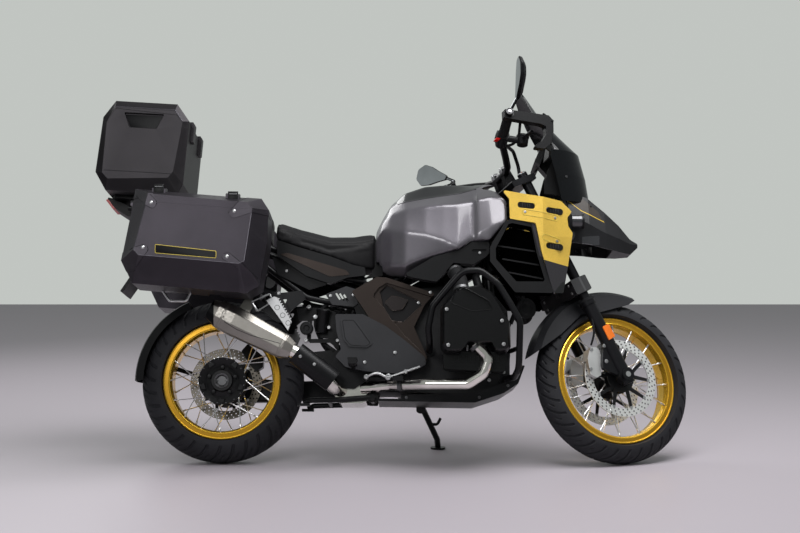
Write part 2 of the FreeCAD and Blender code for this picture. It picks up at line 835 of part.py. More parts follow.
def main_frame():
    """Head tube, the tubes that run back over the engine, and the side plates at the swing arm."""
    pieces = [rod(along_steering(head_low), along_steering(head_high), 30)]
    for side in (1, -1):
        front = [(1136, 17, 1026), (1040, 78, 900), (1040, 96, 742), (1046, 100, 655)]
        back = [(1130, 17, 1046), (930, 82, 905), (700, 104, 730), (600, 112, 640), (590, 112, 560)]
        stay = [(1040, 84, 862), (1084, 172, 925), (1290, 176, 950), (1400, 96, 940), (1400, 0, 940)]
        for path, radius, bend in ((front, 17, 60), (back, 17, 60), (stay, 11, 40)):
            pieces.append(tube([V(x, side * y, z) for x, y, z in path], radius, bend))
        pieces.append(rod(V(1040, side * 84, 860), V(900, side * 86, 880), 12))
        plate = [
            (560, 700), (640, 700), (660, 640), (640, 540), (600, 470), (620, 400), (590, 330), (520, 282),
            (430, 284), (412, 330), (440, 400), (520, 470), (530, 560), (500, 640),
        ]
        y0, y1 = sorted((side * engine_half, side * (engine_half + frame_plate)))
        pieces.append(prism(plate, y0, y1, 12))
    pieces.append(rod(V(1040, -96, 800), V(1040, 96, 800), 12))
    pieces.append(rod(V(620, -engine_half - 2, 690), V(620, engine_half + 2, 690), 14))
    pieces.append(rod(V(500, -engine_half - 2, 634), V(500, engine_half + 2, 634), 12))
    bore = rod(along_steering(head_low - 20), along_steering(head_high + 20), stem_radius + pin_fit)
    return fused(pieces).cut(bore)


def rear_frame():
    """Tubes that carry the seats, the rack plate, the passenger's peg plates and the case holders."""
    pieces = []
    for side in (1, -1):
        spine = [(560, 96, 704), (420, 96, 730), (200, 96, 830), (60, 96, 880), (-150, 96, 960), (-380, 96, 996)]
        strut = [(520, 108, 600), (330, 108, 640), (120, 104, 800), (40, 104, 872)]
        high = [(105, 100, 850), (60, 180, 850), (60, 222, 850)]
        rear = [(-145, 100, 930), (-190, 180, 930), (-190, 222, 930)]
        low = [(300, 108, 660), (240, 170, 640), (122, 224, 650)]
        for path, radius, bend in ((spine, 13, 60), (strut, 12, 50), (high, 8, 20), (rear, 8, 20), (low, 8, 20)):
            pieces.append(tube([V(x, side * y, z) for x, y, z in path], radius, bend))
        y0, y1 = sorted((side * (pannier_inner_y - 18), side * (pannier_inner_y - 1)))
        holder = [
            (-240, 900), (-240, 946), (96, 915), (112, 880), (146, 760), (132, 640), (110, 640), (118, 750), (82, 870),
            (70, 878),
        ]
        lug = [(130, 704), (176, 704), (186, 714), (186, 736), (176, 750), (130, 750)]
        pieces += [prism(holder, y0, y1, 6), prism(lug, y0, y1, 6)] + peg_carrier(side)
    pieces.append(rod(V(420, -96, 730), V(420, 96, 730), 11))
    pieces.append(rod(V(60, -96, 880), V(60, 96, 880), 11))
    rack = [(-440, -120), (-440, 120), (-150, 150), (-20, 120), (-20, -120), (-150, -150)]
    plate = slab(rack, 0, rack_thickness, 14)
    plate.rotate(V(-150, 0, 0), Y_AXIS, rack_tilt)
    plate.translate(V(0, 0, rack_height))
    pieces.append(plate)
    for x, low, high in ((-60, 920, 1012), (-360, 988, 1030)):
        pieces.append(block(x - 12, x + 12, -106, 106, low, high))
    return fused(pieces)


def peg_carrier(side):
    """The cast plate for the passenger's peg, with its two windows, its spacers and the folded, toothed peg."""
    y0, y1 = sorted((side * peg_plate_y, side * (peg_plate_y + 10)))
    outline = [
        (128, 612), (142, 666), (226, 642), (318, 652), (332, 622), (268, 566), (262, 534), (226, 528), (172, 566),
    ]
    plate = prism(outline, y0, y1, 8)
    for window in ([(152, 616), (160, 644), (204, 630), (190, 596)], [(222, 616), (262, 620), (240, 574), (204, 584)]):
        plate = plate.cut(prism(window, y0 - 1, y1 + 1, 4))
    spacers = [rod(V(x, side * 100, z), V(x, side * (peg_plate_y + 4), z), 9) for x, z in ((308, 636), (150, 640))]
    struts = [tube([V(150, side * 104, 640), V(120, side * 104, 700), V(118, side * 104, 796)], 9, 20)]
    y2, y3 = sorted((side * (peg_plate_y + 8), side * (peg_plate_y + 44)))
    peg = prism([(214, 620), (236, 634), (276, 560), (254, 548)], y2, y3, 5)
    return [plate, peg] + spacers + struts


def swing_arm():
    """The left-hand arm with the final drive, its stub for the wheel, and the rear caliper."""
    arm = loft(
        [
            cross_wire([(96, 268), (150, 268), (150, 338), (96, 338)], 440, 10),
            cross_wire([(102, 250), (162, 250), (162, 330), (102, 330)], 250, 10),
            cross_wire([(104, 246), (172, 246), (172, 352), (104, 352)], 40, 10),
        ]
    )
    cross = Part.makeCylinder(28, 2 * engine_half - 2, V(468, -engine_half + 1, 340), Y_AXIS)
    elbow = prism([(430, 306), (496, 322), (496, 362), (430, 356)], 60, 117, 8)
    drive = turned([(18.0, 100), (84, 100), (92, 110), (92, 150), (70, 172), (30, 178), (18.0, 178)])
    drive.translate(rear_axle)
    stub = pipe_ring(rear_hub_bore - 0.05, 18.0, -58, 102)
    stub.translate(rear_axle)
    caliper = prism([(96, 392), (60, 448), (86, 478), (150, 426), (148, 384), (120, 366)], 66, 118, 6)
    swept = V(0, rear_disc_y - caliper_slot / 2, rear_radius)
    ring = Part.makeCylinder(rear_disc_radius + 6, caliper_slot, swept, Y_AXIS)
    caliper = caliper.cut(ring)
    hold = prism([(30, 380), (60, 404), (110, 400), (150, 330), (90, 330)], 104, 118, 6)
    return fused([arm, cross, elbow, drive, stub, caliper, hold])


def rear_mudguard():
    """The guard that follows the back of the rear tyre."""
    inner = rear_radius + 16
    half = rear_guard_half
    outer = [(inner - 30, half), (inner, half - 10), (inner + 9, half - 40), (inner + 11, 0)]
    under = [(inner + 7, 0), (inner + 5, half - 42), (inner - 3, half - 13), (inner - 30, half - 4)]
    rows = outer + [(r, -y) for r, y in reversed(outer[:-1])] + [(r, -y) for r, y in reversed(under[1:])] + under
    section = Part.Face(Part.Wire(corner_path([V(r, y, 0) for r, y in rows], 0, True)))
    arch = section.revolve(V(0, 0, 0), Y_AXIS, -rear_guard_sweep)
    arch.rotate(V(0, 0, 0), Y_AXIS, -rear_guard_start)
    arch.translate(rear_axle)
    return arch


def mudguard_arm():
    """The stay from the final drive round the tyre to the rear mudguard."""
    radius = rear_radius - 6
    angle = math.radians(168)
    end = V(radius * math.cos(angle), 100, rear_radius + radius * math.sin(angle))
    return tube([V(-60, 140, rear_radius + 20), V(-200, 140, 380), end + V(-4, 10, 10), end + V(-14, -24, 2)], 9, 30)


def tail_unit():
    """The tail lamp's housing under the rack and the drop arm that carries the small plate holder."""
    housing = [(-476, 1046), (-440, 1000), (-390, 968), (-330, 962), (-300, 978), (-330, 985), (-452, 1040)]
    arm = [(-296, 966), (-342, 966), (-354, 770), (-384, 722), (-368, 708), (-330, 764)]
    carrier = [(-350, 724), (-362, 730), (-404, 664), (-394, 658)]
    return fused([prism(housing, -70, 70, 6), prism(arm, -26, 26, 8), prism(carrier, -92, 92, 2)])


def tail_lamp():
    """The red lens in the tail."""
    return prism([(-480, 1036), (-452, 1000), (-436, 1000), (-462, 1044)], -58, 58, 3)


def foot_controls():
    """Rider's pegs with their brackets, the brake pedal and the gear lever."""
    pieces = []
    y0, reach = engine_half + frame_plate, 214
    for side in (1, -1):
        peg = [block(500, 532, 210, 330, 360, 378)]
        peg += [block(498, 534, 216 + i * 17, 222 + i * 17, 378, 384) for i in range(7)]
        peg.append(prism([(496, 350), (536, 350), (552, 400), (500, 410)], y0, y0 + 12, 6))
        peg.append(rod(V(516, y0 + 4, 366), V(516, 214, 366), 11))
        lever = tube([V(566, y0 + 16, 322), V(620, y0 + 24, 318), V(684, reach, 312)], 8, 30)
        pedal = [Part.makeCylinder(15, 26, V(566, y0, 322), Y_AXIS), lever,
                 block(668, 706, reach - 12, reach + 40, 304, 322)]
        for whole in (fused(peg), fused(pedal)):
            pieces.append(whole if side > 0 else mirror(whole))
    return Part.makeCompound(pieces)


# Bodywork


def tank_section(x, *half):
    """A cross section of the tank: the top's height, then (half-width, height) pairs down to the bottom."""
    left = [(0, half[0])] + list(half[1:])
    right = [(-y, z) for y, z in reversed(left[1:])]
    return cross_wire(left + right, x)


def fuel_tank():
    """The creased tank: a flat top, a falling side crease and a raised front shoulder, hollow over the frame."""
    stations = [
        tank_section(598, 914, (40, 912), (62, 905), (96, 892), (124, 870), (120, 780), (96, 700)),
        tank_section(622, 966, (48, 962), (84, 946), (124, 928), (152, 899), (146, 776), (112, 700)),
        tank_section(655, 1022, (54, 1018), (100, 998), (148, 960), (180, 897), (170, 760), (118, 700)),
        tank_section(711, 1074, (62, 1068), (114, 1028), (176, 976), (212, 887), (200, 750), (130, 700)),
        tank_section(790, 1102, (68, 1094), (122, 1040), (200, 986), (232, 871), (220, 780), (150, 740)),
        tank_section(860, 1108, (70, 1100), (127, 1048), (212, 992), (244, 846), (234, 794), (160, 750)),
        tank_section(914, 1108, (70, 1100), (130, 1056), (218, 992), (252, 818), (246, 796), (170, 770)),
        tank_section(978, 1108, (68, 1098), (128, 1072), (214, 1002), (238, 866), (236, 830), (176, 790)),
        tank_section(990, 1110, (68, 1102), (128, 1078), (222, 1010), (250, 872), (246, 832), (176, 790)),
        tank_section(1042, 1112, (62, 1106), (120, 1084), (226, 1020), (256, 900), (252, 838), (180, 800)),
        tank_section(1106, 1104, (56, 1100), (104, 1078), (224, 1016), (252, 920), (250, 860), (190, 810)),
    ]
    lower_edge = [(590, 728), (632, 722), (706, 714), (821, 784), (920, 811), (968, 843), (1036, 844)]
    front_edge = [(1104, 921), (1104, 1003), (1072, 1048), (1102, 1070), (1102, 1140), (590, 1140)]
    body = loft(stations).common(prism(lower_edge + front_edge, -300, 300))
    tunnel = loft(
        [
            cross_wire([(-128, 660), (128, 660), (128, 760), (-128, 760)], 560),
            cross_wire([(-128, 660), (128, 660), (128, 860), (-128, 860)], 800),
            cross_wire([(-118, 660), (118, 660), (100, 960), (-100, 960)], 960),
            cross_wire([(-118, 660), (118, 660), (64, 1062), (-64, 1062)], 1110),
        ]
    )
    return body.cut(tunnel).cut(steering_sweep())


def nose_shell():
    """The hollow nose, before its lamps are let in: pointed in front, with cheeks that fall inwards."""
    def section(x, top, top_half, mid, mid_half, low, low_half):
        half = [(0, top), (top_half, top - 8), (mid_half, mid), (low_half, low), (0, low)]
        right = [(-y, z) for y, z in reversed(half[1:-1])]
        return cross_wire(half + right, x)

    nose = loft(
        [
            section(1352, 1088, 96, 972, 158, 858, 150),
            section(1434, 1050, 96, 930, 146, 852, 138),
            section(1500, 998, 84, 900, 120, 840, 112),
            section(1560, 948, 60, 884, 84, 832, 76),
            section(1606, 900, 34, 870, 46, 830, 38),
            section(1640, 880, 12, 872, 14, 862, 10),
        ]
    )
    hollow = loft(
        [
            section(1340, 1084, 88, 966, 151, 800, 143),
            section(1434, 1042, 88, 924, 139, 800, 131),
            section(1530, 966, 64, 886, 94, 800, 86),
        ]
    )
    return nose.cut(hollow)


def side_windows():
    """The openings for the lamps in the nose's two cheeks."""
    outline = [(1404, 880), (1474, 888), (1474, 852), (1404, 846)]
    return Part.makeCompound([prism(outline, y, y + 80, 4) for y in (90, -170)])


def steering_sweep():
    """The space that the fork, its bridges and the bar's clamps turn in."""
    lower = rod(along_steering(300), along_steering(903), steering_clearance)
    return fused([lower, rod(along_steering(850), along_steering(990), riser_clearance)])


def side_panel(side):
    """The coloured panel beside the steering head, bent inwards towards the front, with three oblong slots."""
    outline = [
        (1083, 1043), (1160, 1028), (1313, 1002), (1355, 963), (1337, 937), (1340, 904), (1357, 878), (1336, 742),
        (1318, 643), (1281, 640), (1264, 690), (1233, 800), (1212, 910), (1114, 928), (1112, 1007),
    ]
    skin = loft(
        [
            plan_wire([(1060, 256), (1240, 272), (1400, 214), (1396, 204), (1238, 260), (1060, 244)], 600),
            plan_wire([(1060, 262), (1240, 278), (1400, 222), (1396, 212), (1238, 266), (1060, 250)], 860),
            plan_wire([(1060, 250), (1240, 262), (1400, 206), (1396, 196), (1238, 250), (1060, 238)], 1060),
        ]
    )
    panel = skin.common(prism(outline, 150, 320, 6))
    for x, z in panel_slots:
        length, height = panel_slot_size
        slot = [(x - length / 2, z - height / 2 + 4), (x + length / 2, z - height / 2 - 4),
                (x + length / 2, z + height / 2 - 4), (x - length / 2, z + height / 2 + 4)]
        panel = panel.cut(prism(slot, 100, 400, height * 0.45))
    panel = sorted(panel.Solids, key=lambda s: -s.Volume)[0]
    return panel if side > 0 else mirror(panel)


def duct(side):
    """The black air duct below the panel: a deep frame with an open mouth and blades inside."""
    outline = [
        (1037, 762), (1037, 816), (1097, 918), (1122, 928), (1211, 909), (1232, 800), (1264, 688), (1281, 640),
        (1132, 642),
    ]
    opening = [(1060, 770), (1059, 812), (1108, 906), (1122, 911), (1196, 896), (1216, 792), (1247, 684), (1137, 684)]
    frame = prism(outline, 176, 262, 8).cut(prism(opening, 170, 276, 8))
    blades = [
        prism([(1062 + i * 24, 826 - i * 52), (1240 + i * 4, 800 - i * 52), (1240 + i * 4, 806 - i * 52),
               (1062 + i * 24, 832 - i * 52)], 190, 226)
        for i in range(3)
    ]
    whole = fused([frame] + [b.common(prism(outline, 150, 256, 8)) for b in blades])
    return whole if side > 0 else mirror(whole)


def radiator(side):
    """A radiator core in its tank frame, behind the duct."""
    outline = [(1072, 880), (1120, 908), (1200, 892), (1218, 785), (1252, 650), (1150, 648), (1100, 726)]
    core = prism(outline, 160, 176, 6)
    stay = rod(V(1120, 104, 742), V(1120, 168, 742), 9)
    lug = rod(V(1050, 100, 742), V(1124, 106, 742), 9)
    whole = fused([core, stay, lug])
    return whole if side > 0 else mirror(whole)


def beak():
    """The nose with its lamp openings, and the arms that join it to the side panels."""
    body = nose_shell().cut(side_windows())
    opening = [(1426, 918), (1520, 918), (1520, 1100), (1426, 1100)]
    body = body.cut(prism(opening, -lamp_half, lamp_half))
    arms = []
    for s in (1, -1):
        y0, y1 = sorted((s * 138, s * 226))
        arms.append(prism([(1290, 872), (1366, 862), (1366, 884), (1290, 900)], y0, y1, 4))
    return fused([body] + arms)


def headlight():
    """The lamp unit in the nose, with the slope of the nose's top."""
    outline = [(1427, 919), (1519, 919), (1519, 970), (1490, 1002), (1440, 1042), (1427, 1042)]
    return prism(outline, 1 - lamp_half, lamp_half - 1, 4)


def fog_lamp(side):
    """A round lamp ahead of the side panel, on its stalk from the nose's cheek."""
    can = Part.makeCylinder(fog_radius, 46, V(1360, fog_y, 933), X_AXIS)
    bezel = Part.makeCylinder(fog_radius + 2, 8, V(1398, fog_y, 933), X_AXIS)
    stalk = rod(V(1380, 140, 930), V(1380, fog_y, 933), 9)
    whole = fused([can, bezel, stalk])
    return whole if side > 0 else mirror(whole)


def windscreen():
    """The curved smoked screen, swept back from the nose to its top edge."""
    rows = []
    for z, x, half, sag in (
        (1024, 1452, 150, 122),
        (1130, 1436, 158, 130),
        (1229, 1410, 160, 132),
        (1300, 1334, 152, 72),
        (1381, 1256, 138, 40),
        (1450, 1208, 118, 24),
        (1492, 1178, 84, 12),
    ):
        def arc(back):
            return Part.Arc(V(x - sag - back, half, z), V(x - back, 0, z), V(x - sag - back, -half, z)).toShape()

        edge = x - sag
        ends = [Part.LineSegment(V(edge, y, z), V(edge - screen_thickness, y, z)).toShape() for y in (half, -half)]
        rows.append(Part.Wire(Part.__sortEdges__([arc(0), ends[0], arc(screen_thickness), ends[1]])))
    return loft(rows)


def instrument_carrier():
    """The display and the frame behind the screen that carries it."""
    display = block(1222, 1246, -100, 100, 0, 112)
    display.rotate(V(1222, 0, 0), Y_AXIS, 24)
    display.translate(V(2, 0, 1190))
    spine = [(1240, 1206), (1270, 1220), (1414, 1060), (1412, 985), (1376, 985), (1340, 1080), (1246, 1190)]
    return fused([display, prism(spine, -34, 34, 4)])


def pannier_shell(depth):
    """The left side case's form, drawn in by a depth."""
    full, face = inset(pannier_outline, depth), inset(pannier_face, depth)
    return loft(
        [
            side_wire(full, pannier_inner_y + depth),
            side_wire(full, pannier_outer_y - pannier_bevel),
            side_wire(face, pannier_outer_y - depth),
        ]
    )


def rider_seat():
    """The rider's cushion, waisted at the front and stepped up at the back."""
    def section(x, top, bottom, half):
        outline = [(half, bottom), (half, top - 26), (half - 26, top), (-half + 26, top), (-half, top - 26),
                   (-half, bottom)]
        return cross_wire(outline, x, [2, 14, 14, 14, 14, 2])

    return loft(
        [
            section(206, 938, 866, 132),
            section(300, 908, 834, 140),
            section(418, 880, 800, 134),
            section(510, 884, 766, 112),
            section(596, 900, 754, 84),
        ]
    )


def passenger_seat():
    """The passenger's cushion."""
    def section(x, top, bottom, half):
        outline = [(half, bottom), (half, top - 22), (half - 24, top), (-half + 24, top), (-half, top - 22),
                   (-half, bottom)]
        return cross_wire(outline, x, [2, 12, 12, 12, 12, 2])

    return loft(
        [
            section(-118, 994, 950, 96),
            section(-20, 1006, 926, 122),
            section(110, 1008, 894, 128),
            section(182, 990, 878, 122),
        ]
    )


def frame_arm(side):
    """The arm beside the frame: a plate with a recess and a box in it, and a raised band that sweeps round."""
    y0 = cover_inner_y
    plate = [
        (506, 656), (603, 713), (642, 710), (828, 650), (790, 608), (748, 520), (800, 402), (795, 385), (708, 410),
        (626, 474), (556, 583),
    ]
    band = [
        (506, 656), (603, 713), (642, 710), (828, 650), (818, 636), (642, 690), (612, 672), (588, 640), (638, 582),
        (709, 487), (797, 404), (795, 385), (708, 410), (626, 474), (556, 583),
    ]
    recess = [(614, 656), (642, 684), (768, 622), (780, 606), (707, 538), (663, 541), (627, 601)]
    box = [(634, 614), (663, 642), (727, 626), (702, 588), (665, 582)]
    arm = prism(plate, y0, y0 + 26, 6).cut(prism(recess, y0 + 12, y0 + 40, 4))
    arm = fused([arm, prism(band, y0, y0 + 38, 8), prism(box, y0 + 6, y0 + 24, 7)])
    return arm if side > 0 else mirror(arm)


def rear_cover(side):
    """The grey cover behind the arm, with its raised panel."""
    y0, y1 = cover_inner_y, cover_inner_y + 44
    outline = [
        (444, 566), (552, 566), (640, 520), (708, 470), (792, 400), (794, 374), (772, 360), (676, 338), (562, 346),
        (486, 362), (446, 402), (468, 430), (450, 500),
    ]
    panel = prism([(464, 552), (524, 552), (592, 452), (566, 436), (500, 440), (476, 470)], y0, y1 + 5, 8)
    cover = fused([prism(outline, y0, y1, 8), panel])
    return cover if side > 0 else mirror(cover)


def slotted_cover(side):
    """The small plate above the rear cover, with three slots."""
    y0 = cover_inner_y
    plate = prism([(404, 648), (484, 680), (524, 668), (530, 612), (514, 600), (430, 608)], y0, y0 + 8, 6)
    for i in range(3):
        x, z = 452 + i * 16, 642 - i * 4
        plate = plate.cut(prism([(x - 12, z + 12), (x - 6, z + 16), (x + 12, z - 12), (x + 6, z - 16)], y0 - 1, y0 + 9))
    return plate if side > 0 else mirror(plate)


def tank_cover(side):
    """The dark cover under the tank's edge, between the frame arm and the duct, with a screw's recess."""
    outline = [
        (706, 713), (821, 783), (920, 810), (968, 842), (1036, 843), (1036, 800), (1027, 787), (975, 754), (898, 760),
        (834, 686), (745, 701),
    ]
    cover = prism(outline, 176, 232, 8)
    cover = cover.cut(prism([(969, 813), (1027, 813), (1020, 789), (975, 789)], 226, 240, 4))
    return cover if side > 0 else mirror(cover)


def seat_trim(side):
    """The trim panel below the seat."""
    outline = [
        (208, 865), (300, 833.6), (418, 799.6), (510, 765.6), (556, 756), (560, 724), (492, 716), (423, 690),
        (326, 722), (214, 800),
    ]
    panel = prism(outline, 107, 138, 8)
    return panel if side > 0 else mirror(panel)


def raised(shell, height, region):
    """A patch that stands proud of a case's walls, where a region meets them."""
    return shell(-height).cut(shell(0)).common(region)


def knuckles(axis_point, starts, length, radius):
    """Hinge knuckles on an axis along Y."""
    return [Part.makeCylinder(radius, length, V(axis_point.x, y, axis_point.z), Y_AXIS) for y in starts]


def hinged(base, lid, axis_point, starts):
    """A case's base and lid with knuckles turn by turn on one axis, each clear of the other half."""
    step = knuckle_length + lid_gap
    wide = knuckle_radius + lid_gap
    for start in starts:
        mine, other = [start, start + 2 * step], [start + step]
        room, lid_room = [Part.makeCompound(knuckles(axis_point, at, knuckle_length, wide)) for at in (other, mine)]
        base = fused([base.cut(room)] + knuckles(axis_point, mine, knuckle_length, knuckle_radius))
        lid = fused([lid.cut(lid_room)] + knuckles(axis_point, other, knuckle_length, knuckle_radius))
    return base, lid


def parted(walls, seam, y0, y1):
    """Walls split along a seam into a base and a lid, with a narrow gap between them."""
    above = prism(seam, y0, y1)
    lid = walls.common(above)
    above.translate(V(0, 0, -lid_gap))
    return walls.cut(above), lid


# Cases


def inset(outline, depth):
    """A convex outline moved inwards by a depth."""
    count = len(outline)
    area = sum(
        outline[i][0] * outline[(i + 1) % count][1] - outline[(i + 1) % count][0] * outline[i][1] for i in range(count)
    )
    turn = 1 if area > 0 else -1
    lines = []
    for i in range(count):
        (ax, az), (bx, bz) = outline[i], outline[(i + 1) % count]
        length = math.hypot(bx - ax, bz - az)
        nx, nz = -(bz - az) / length * turn, (bx - ax) / length * turn
        lines.append(((ax + nx * depth, az + nz * depth), (bx - ax, bz - az)))
    points = []
    for i in range(count):
        (px, pz), (dx, dz) = lines[i - 1]
        (qx, qz), (ex, ez) = lines[i]
        cross = dx * ez - dz * ex
        t = ((qx - px) * ez - (qz - pz) * ex) / cross
        points.append((px + dx * t, pz + dz * t))
    return points


top_outline = [
    (-426, 1404), (-184, 1391), (-136, 1322), (-154, 1070), (-176, 1026), (-456, 1046), (-497, 1118), (-474, 1338),
]
top_face = [
    (-424, 1378), (-190, 1365), (-160, 1318), (-192, 1118), (-212, 1092), (-446, 1088), (-468, 1112), (-457, 1314),
]
top_seam = [
    (-560, 1440), (-560, 1304), (-457, 1304), (-421, 1373), (-191, 1360), (-158, 1294), (-80, 1294), (-80, 1440),
]
handle_recess = [(-390, 1354), (-232, 1346), (-262, 1286), (-368, 1292)]
pannier_outline = [
    (-300, 1003), (-345, 732), (-302, 646), (120, 612), (170, 640), (196, 800), (200, 925), (172, 968),
]
pannier_face = [
    (-240, 972), (-288, 760), (-268, 740), (100, 710), (120, 718), (134, 830), (144, 918), (124, 940),
]
pannier_seam = [(-400, 1100), (-400, 954), (300, 902), (300, 1100)]
pannier_corners = [
    [(-360, 958), (-360, 1040), (-262, 1040), (-204, 938), (-220, 914), (-240, 922), (-290, 968)],
    [(58, 896), (76, 880), (150, 904), (240, 904), (240, 1000), (140, 1000), (70, 916)],
    [(-242, 782), (-232, 760), (-290, 690), (-380, 690), (-380, 764), (-318, 760)],
    [(37, 730), (43, 746), (62, 752), (112, 712), (196, 640), (196, 600), (100, 600), (96, 696)],
]


def top_case():
    """Base and lid of the top case: thin folded walls, a handle recess on each side, latches and hinges."""
    def shell(depth):
        full, face = inset(top_outline, depth), inset(top_face, depth)
        half, edge = case_half_width - depth, case_half_width - case_bevel - depth / 2
        return loft([side_wire(face, -half), side_wire(full, -edge), side_wire(full, edge), side_wire(face, half)])

    outer, inner = shell(0), shell(case_wall)
    for side in (1, -1):
        for grow, of_outer in ((0, True), (case_wall, False)):
            y0, y1 = sorted((side * (case_half_width - recess_depth - grow), side * (case_half_width + 5)))
            pocket = prism(inset(handle_recess, -grow), y0, y1, 4)
            if of_outer:
                outer = outer.cut(pocket)
            else:
                inner = inner.cut(pocket)
    walls = outer.cut(inner)
    latches = [raised(shell, 13, block(-200, -60, y - 22, y + 22, 1256, 1336)) for y in (-112, 112)]
    base, lid = parted(fused([walls] + latches), top_seam, -300, 300)
    return hinged(base, lid, top_hinge, (-130, 70))


def pannier():
    """Base and lid of the left side case, bevelled outwards, with corner guards, latches, hinges and a bail."""
    walls = pannier_shell(0).cut(pannier_shell(case_wall))
    plates = [
        raised(pannier_shell, corner_plate, prism(corner, pannier_inner_y + 80, 560, 12)) for corner in pannier_corners
    ]
    latches = [raised(pannier_shell, latch_height, block(x - 25, x + 25, 386, 440, 940, 1040)) for x in (-209, 66)]
    bail = tube([V(-210, 266, 640), V(-182, 266, 600), V(-118, 266, 600), V(-104, 266, 632)], bail_radius, 12)
    bail = bail.cut(pannier_shell(case_wall))
    base, lid = parted(fused([walls, bail] + plates + latches), pannier_seam, 200, 560)
    return hinged(base, lid, pannier_hinge, (254, 336))


def stepped_pannier(base):
    """The right side case's base, with a walled step where the silencer passes."""
    outer, inner = silencer_room(case_wall), silencer_room(0)
    step = outer.cut(inner).common(mirror(pannier_shell(0)))
    return fused([mirror(base).cut(outer), step])


# Stands


def side_stand(place):
    """The side stand's leg, prong and foot, drawn where it stands on the floor."""
    pivot = place.multVec(side_stand_pivot)
    foot = V(stand_foot_x, stand_foot_y, 0)
    knee = foot + V(-4, -26, 44)
    leg = tube([pivot, knee, foot + V(0, -2, stand_foot_thickness)], stand_leg_radius, 30)
    plate = Part.makeCylinder(stand_foot_radius, stand_foot_thickness, foot, Z_AXIS)
    axis = stand_axis(place)
    eye = Part.makeCylinder(19, stand_eye, pivot - axis * (stand_eye / 2), axis)
    half_way = pivot + (knee - pivot) * 0.55
    prong = tube([half_way, half_way + V(30, 12, -4), half_way + V(44, 16, 22)], 6, 14)
    whole = fused([leg, eye, plate, prong])
    bolt = rod(pivot - axis * stand_eye, pivot + axis * stand_eye, stand_bolt + pin_fit)
    floor = Part.makeBox(400, 400, 60, foot + V(-200, -200, -60))
    return whole.cut(floor).cut(bolt)


def stand_axis(place):
    """The side stand's hinge: square to its leg, down and stowed."""
    down = (V(stand_foot_x, stand_foot_y, 0) - place.multVec(side_stand_pivot)).normalize()
    stowed = place.Rotation.multVec(V(-1, 0.03, 0.02)).normalize()
    return down.cross(stowed).normalize()


def stand_angle(place):
    """Travel of the side stand from the floor to its stowed place, in degrees."""
    down = (V(stand_foot_x, stand_foot_y, 0) - place.multVec(side_stand_pivot)).normalize()
    stowed = place.Rotation.multVec(V(-1, 0.03, 0.02)).normalize()
    return math.degrees(down.getAngle(stowed))


def centre_stand():
    """The centre stand, folded up under the gearbox."""
    pieces = []
    for side in (1, -1):
        leg = [
            V(centre_pivot.x, side * 134, centre_pivot.z),
            V(470, side * 136, 240),
            V(350, side * 140, 236),
            V(326, side * 146, 226),
        ]
        pieces.append(tube(leg, 10.5, 20))
        pieces.append(block(302, 350, side * 146 - 14, side * 146 + 14, 214, 224))
    pieces.append(rod(V(centre_pivot.x, -146, centre_pivot.z), V(centre_pivot.x, 146, centre_pivot.z), centre_pin))
    pieces.append(rod(V(420, -136, 238), V(420, 136, 238), 8))
    return fused(pieces)


# Placing the machine on its stand


def lowest(centre, axle, radius, crown):
    """Height of a tyre's lowest point, for a wheel with that axle direction."""
    tilt = math.asin(min(1.0, abs(axle.z)))
    return centre.z - ((radius - crown) * math.cos(tilt) + crown)


def steering_turn(angle):
    """Turns the fork and front wheel about the steering axis."""
    return FreeCAD.Placement(V(0, 0, 0), FreeCAD.Rotation(steer_dir, angle), steer_ground)


def parked_placement():
    """Lean about the long axis, then the pitch and height that set both tyres on the floor."""
    turn = steering_turn(steer_at_rest)

    def contact(pitch):
        rotation = FreeCAD.Rotation(X_AXIS, -lean_angle).multiply(FreeCAD.Rotation(Y_AXIS, pitch))
        place = FreeCAD.Placement(V(0, 0, 0), rotation)
        rear = lowest(place.multVec(rear_axle), rotation.multVec(Y_AXIS), rear_radius, rear_width / 2)
        axle = rotation.multVec(turn.Rotation.multVec(Y_AXIS))
        front = lowest(place.multVec(turn.multVec(front_axle)), axle, front_radius, front_width / 2)
        return place, rear, front

    low, high = -5.0, 5.0
    for _ in range(60):
        middle = (low + high) / 2
        place, rear, front = contact(middle)
        if front > rear:
            low = middle
        else:
            high = middle
    place, rear, front = contact((low + high) / 2)
    place.Base = V(0, 0, -rear)
    return place


# The assembly


def placed(shape, placement):
    """A copy of a shape under a placement."""
    copy = shape.copy()
    copy.Placement = placement.multiply(copy.Placement)
    return copy


def wheel_at(shape, centre):
    """A wheel part, moved from the origin to its axle."""
    return moved(shape, centre)


def solids(shape):
    """The solids of a shape that are more than slivers, as one compound."""
    kept = [s for s in shape.Solids if s.Volume > 200]
    return kept[0] if len(kept) == 1 else Part.makeCompound(kept)


def carved(shape, others):
    """A shape with the room of its neighbours taken out."""
    box = shape.BoundBox
    for other in others:
        if box.intersect(other.BoundBox):
            shape = shape.cut(other)
    return solids(shape)


place = parked_placement()

steering = {}
fork_solid = fork()
handlebar_solid = handlebar()
steering["fork"] = fork_solid
steering["handlebar"] = carved(handlebar_solid, [fork_solid])
steering["handguards"] = Part.makeCompound([handguard(1), handguard(-1)])
mirror_left = mirror_head(V(1026, 304, 1246), V(1000, 332, 1272), V(936, 504, 1346))
mirror_right = mirror_head(V(1006, -322, 1296), V(1019, -334, 1331), V(972, -486, 1428))
steering["mirrors"] = carved(Part.makeCompound([mirror_left, mirror_right]), [handlebar_solid])
steering["front_mudguard"] = carved(front_mudguard(), [fork_solid])
steering["front_calipers"] = Part.makeCompound([front_caliper(1), front_caliper(-1)])

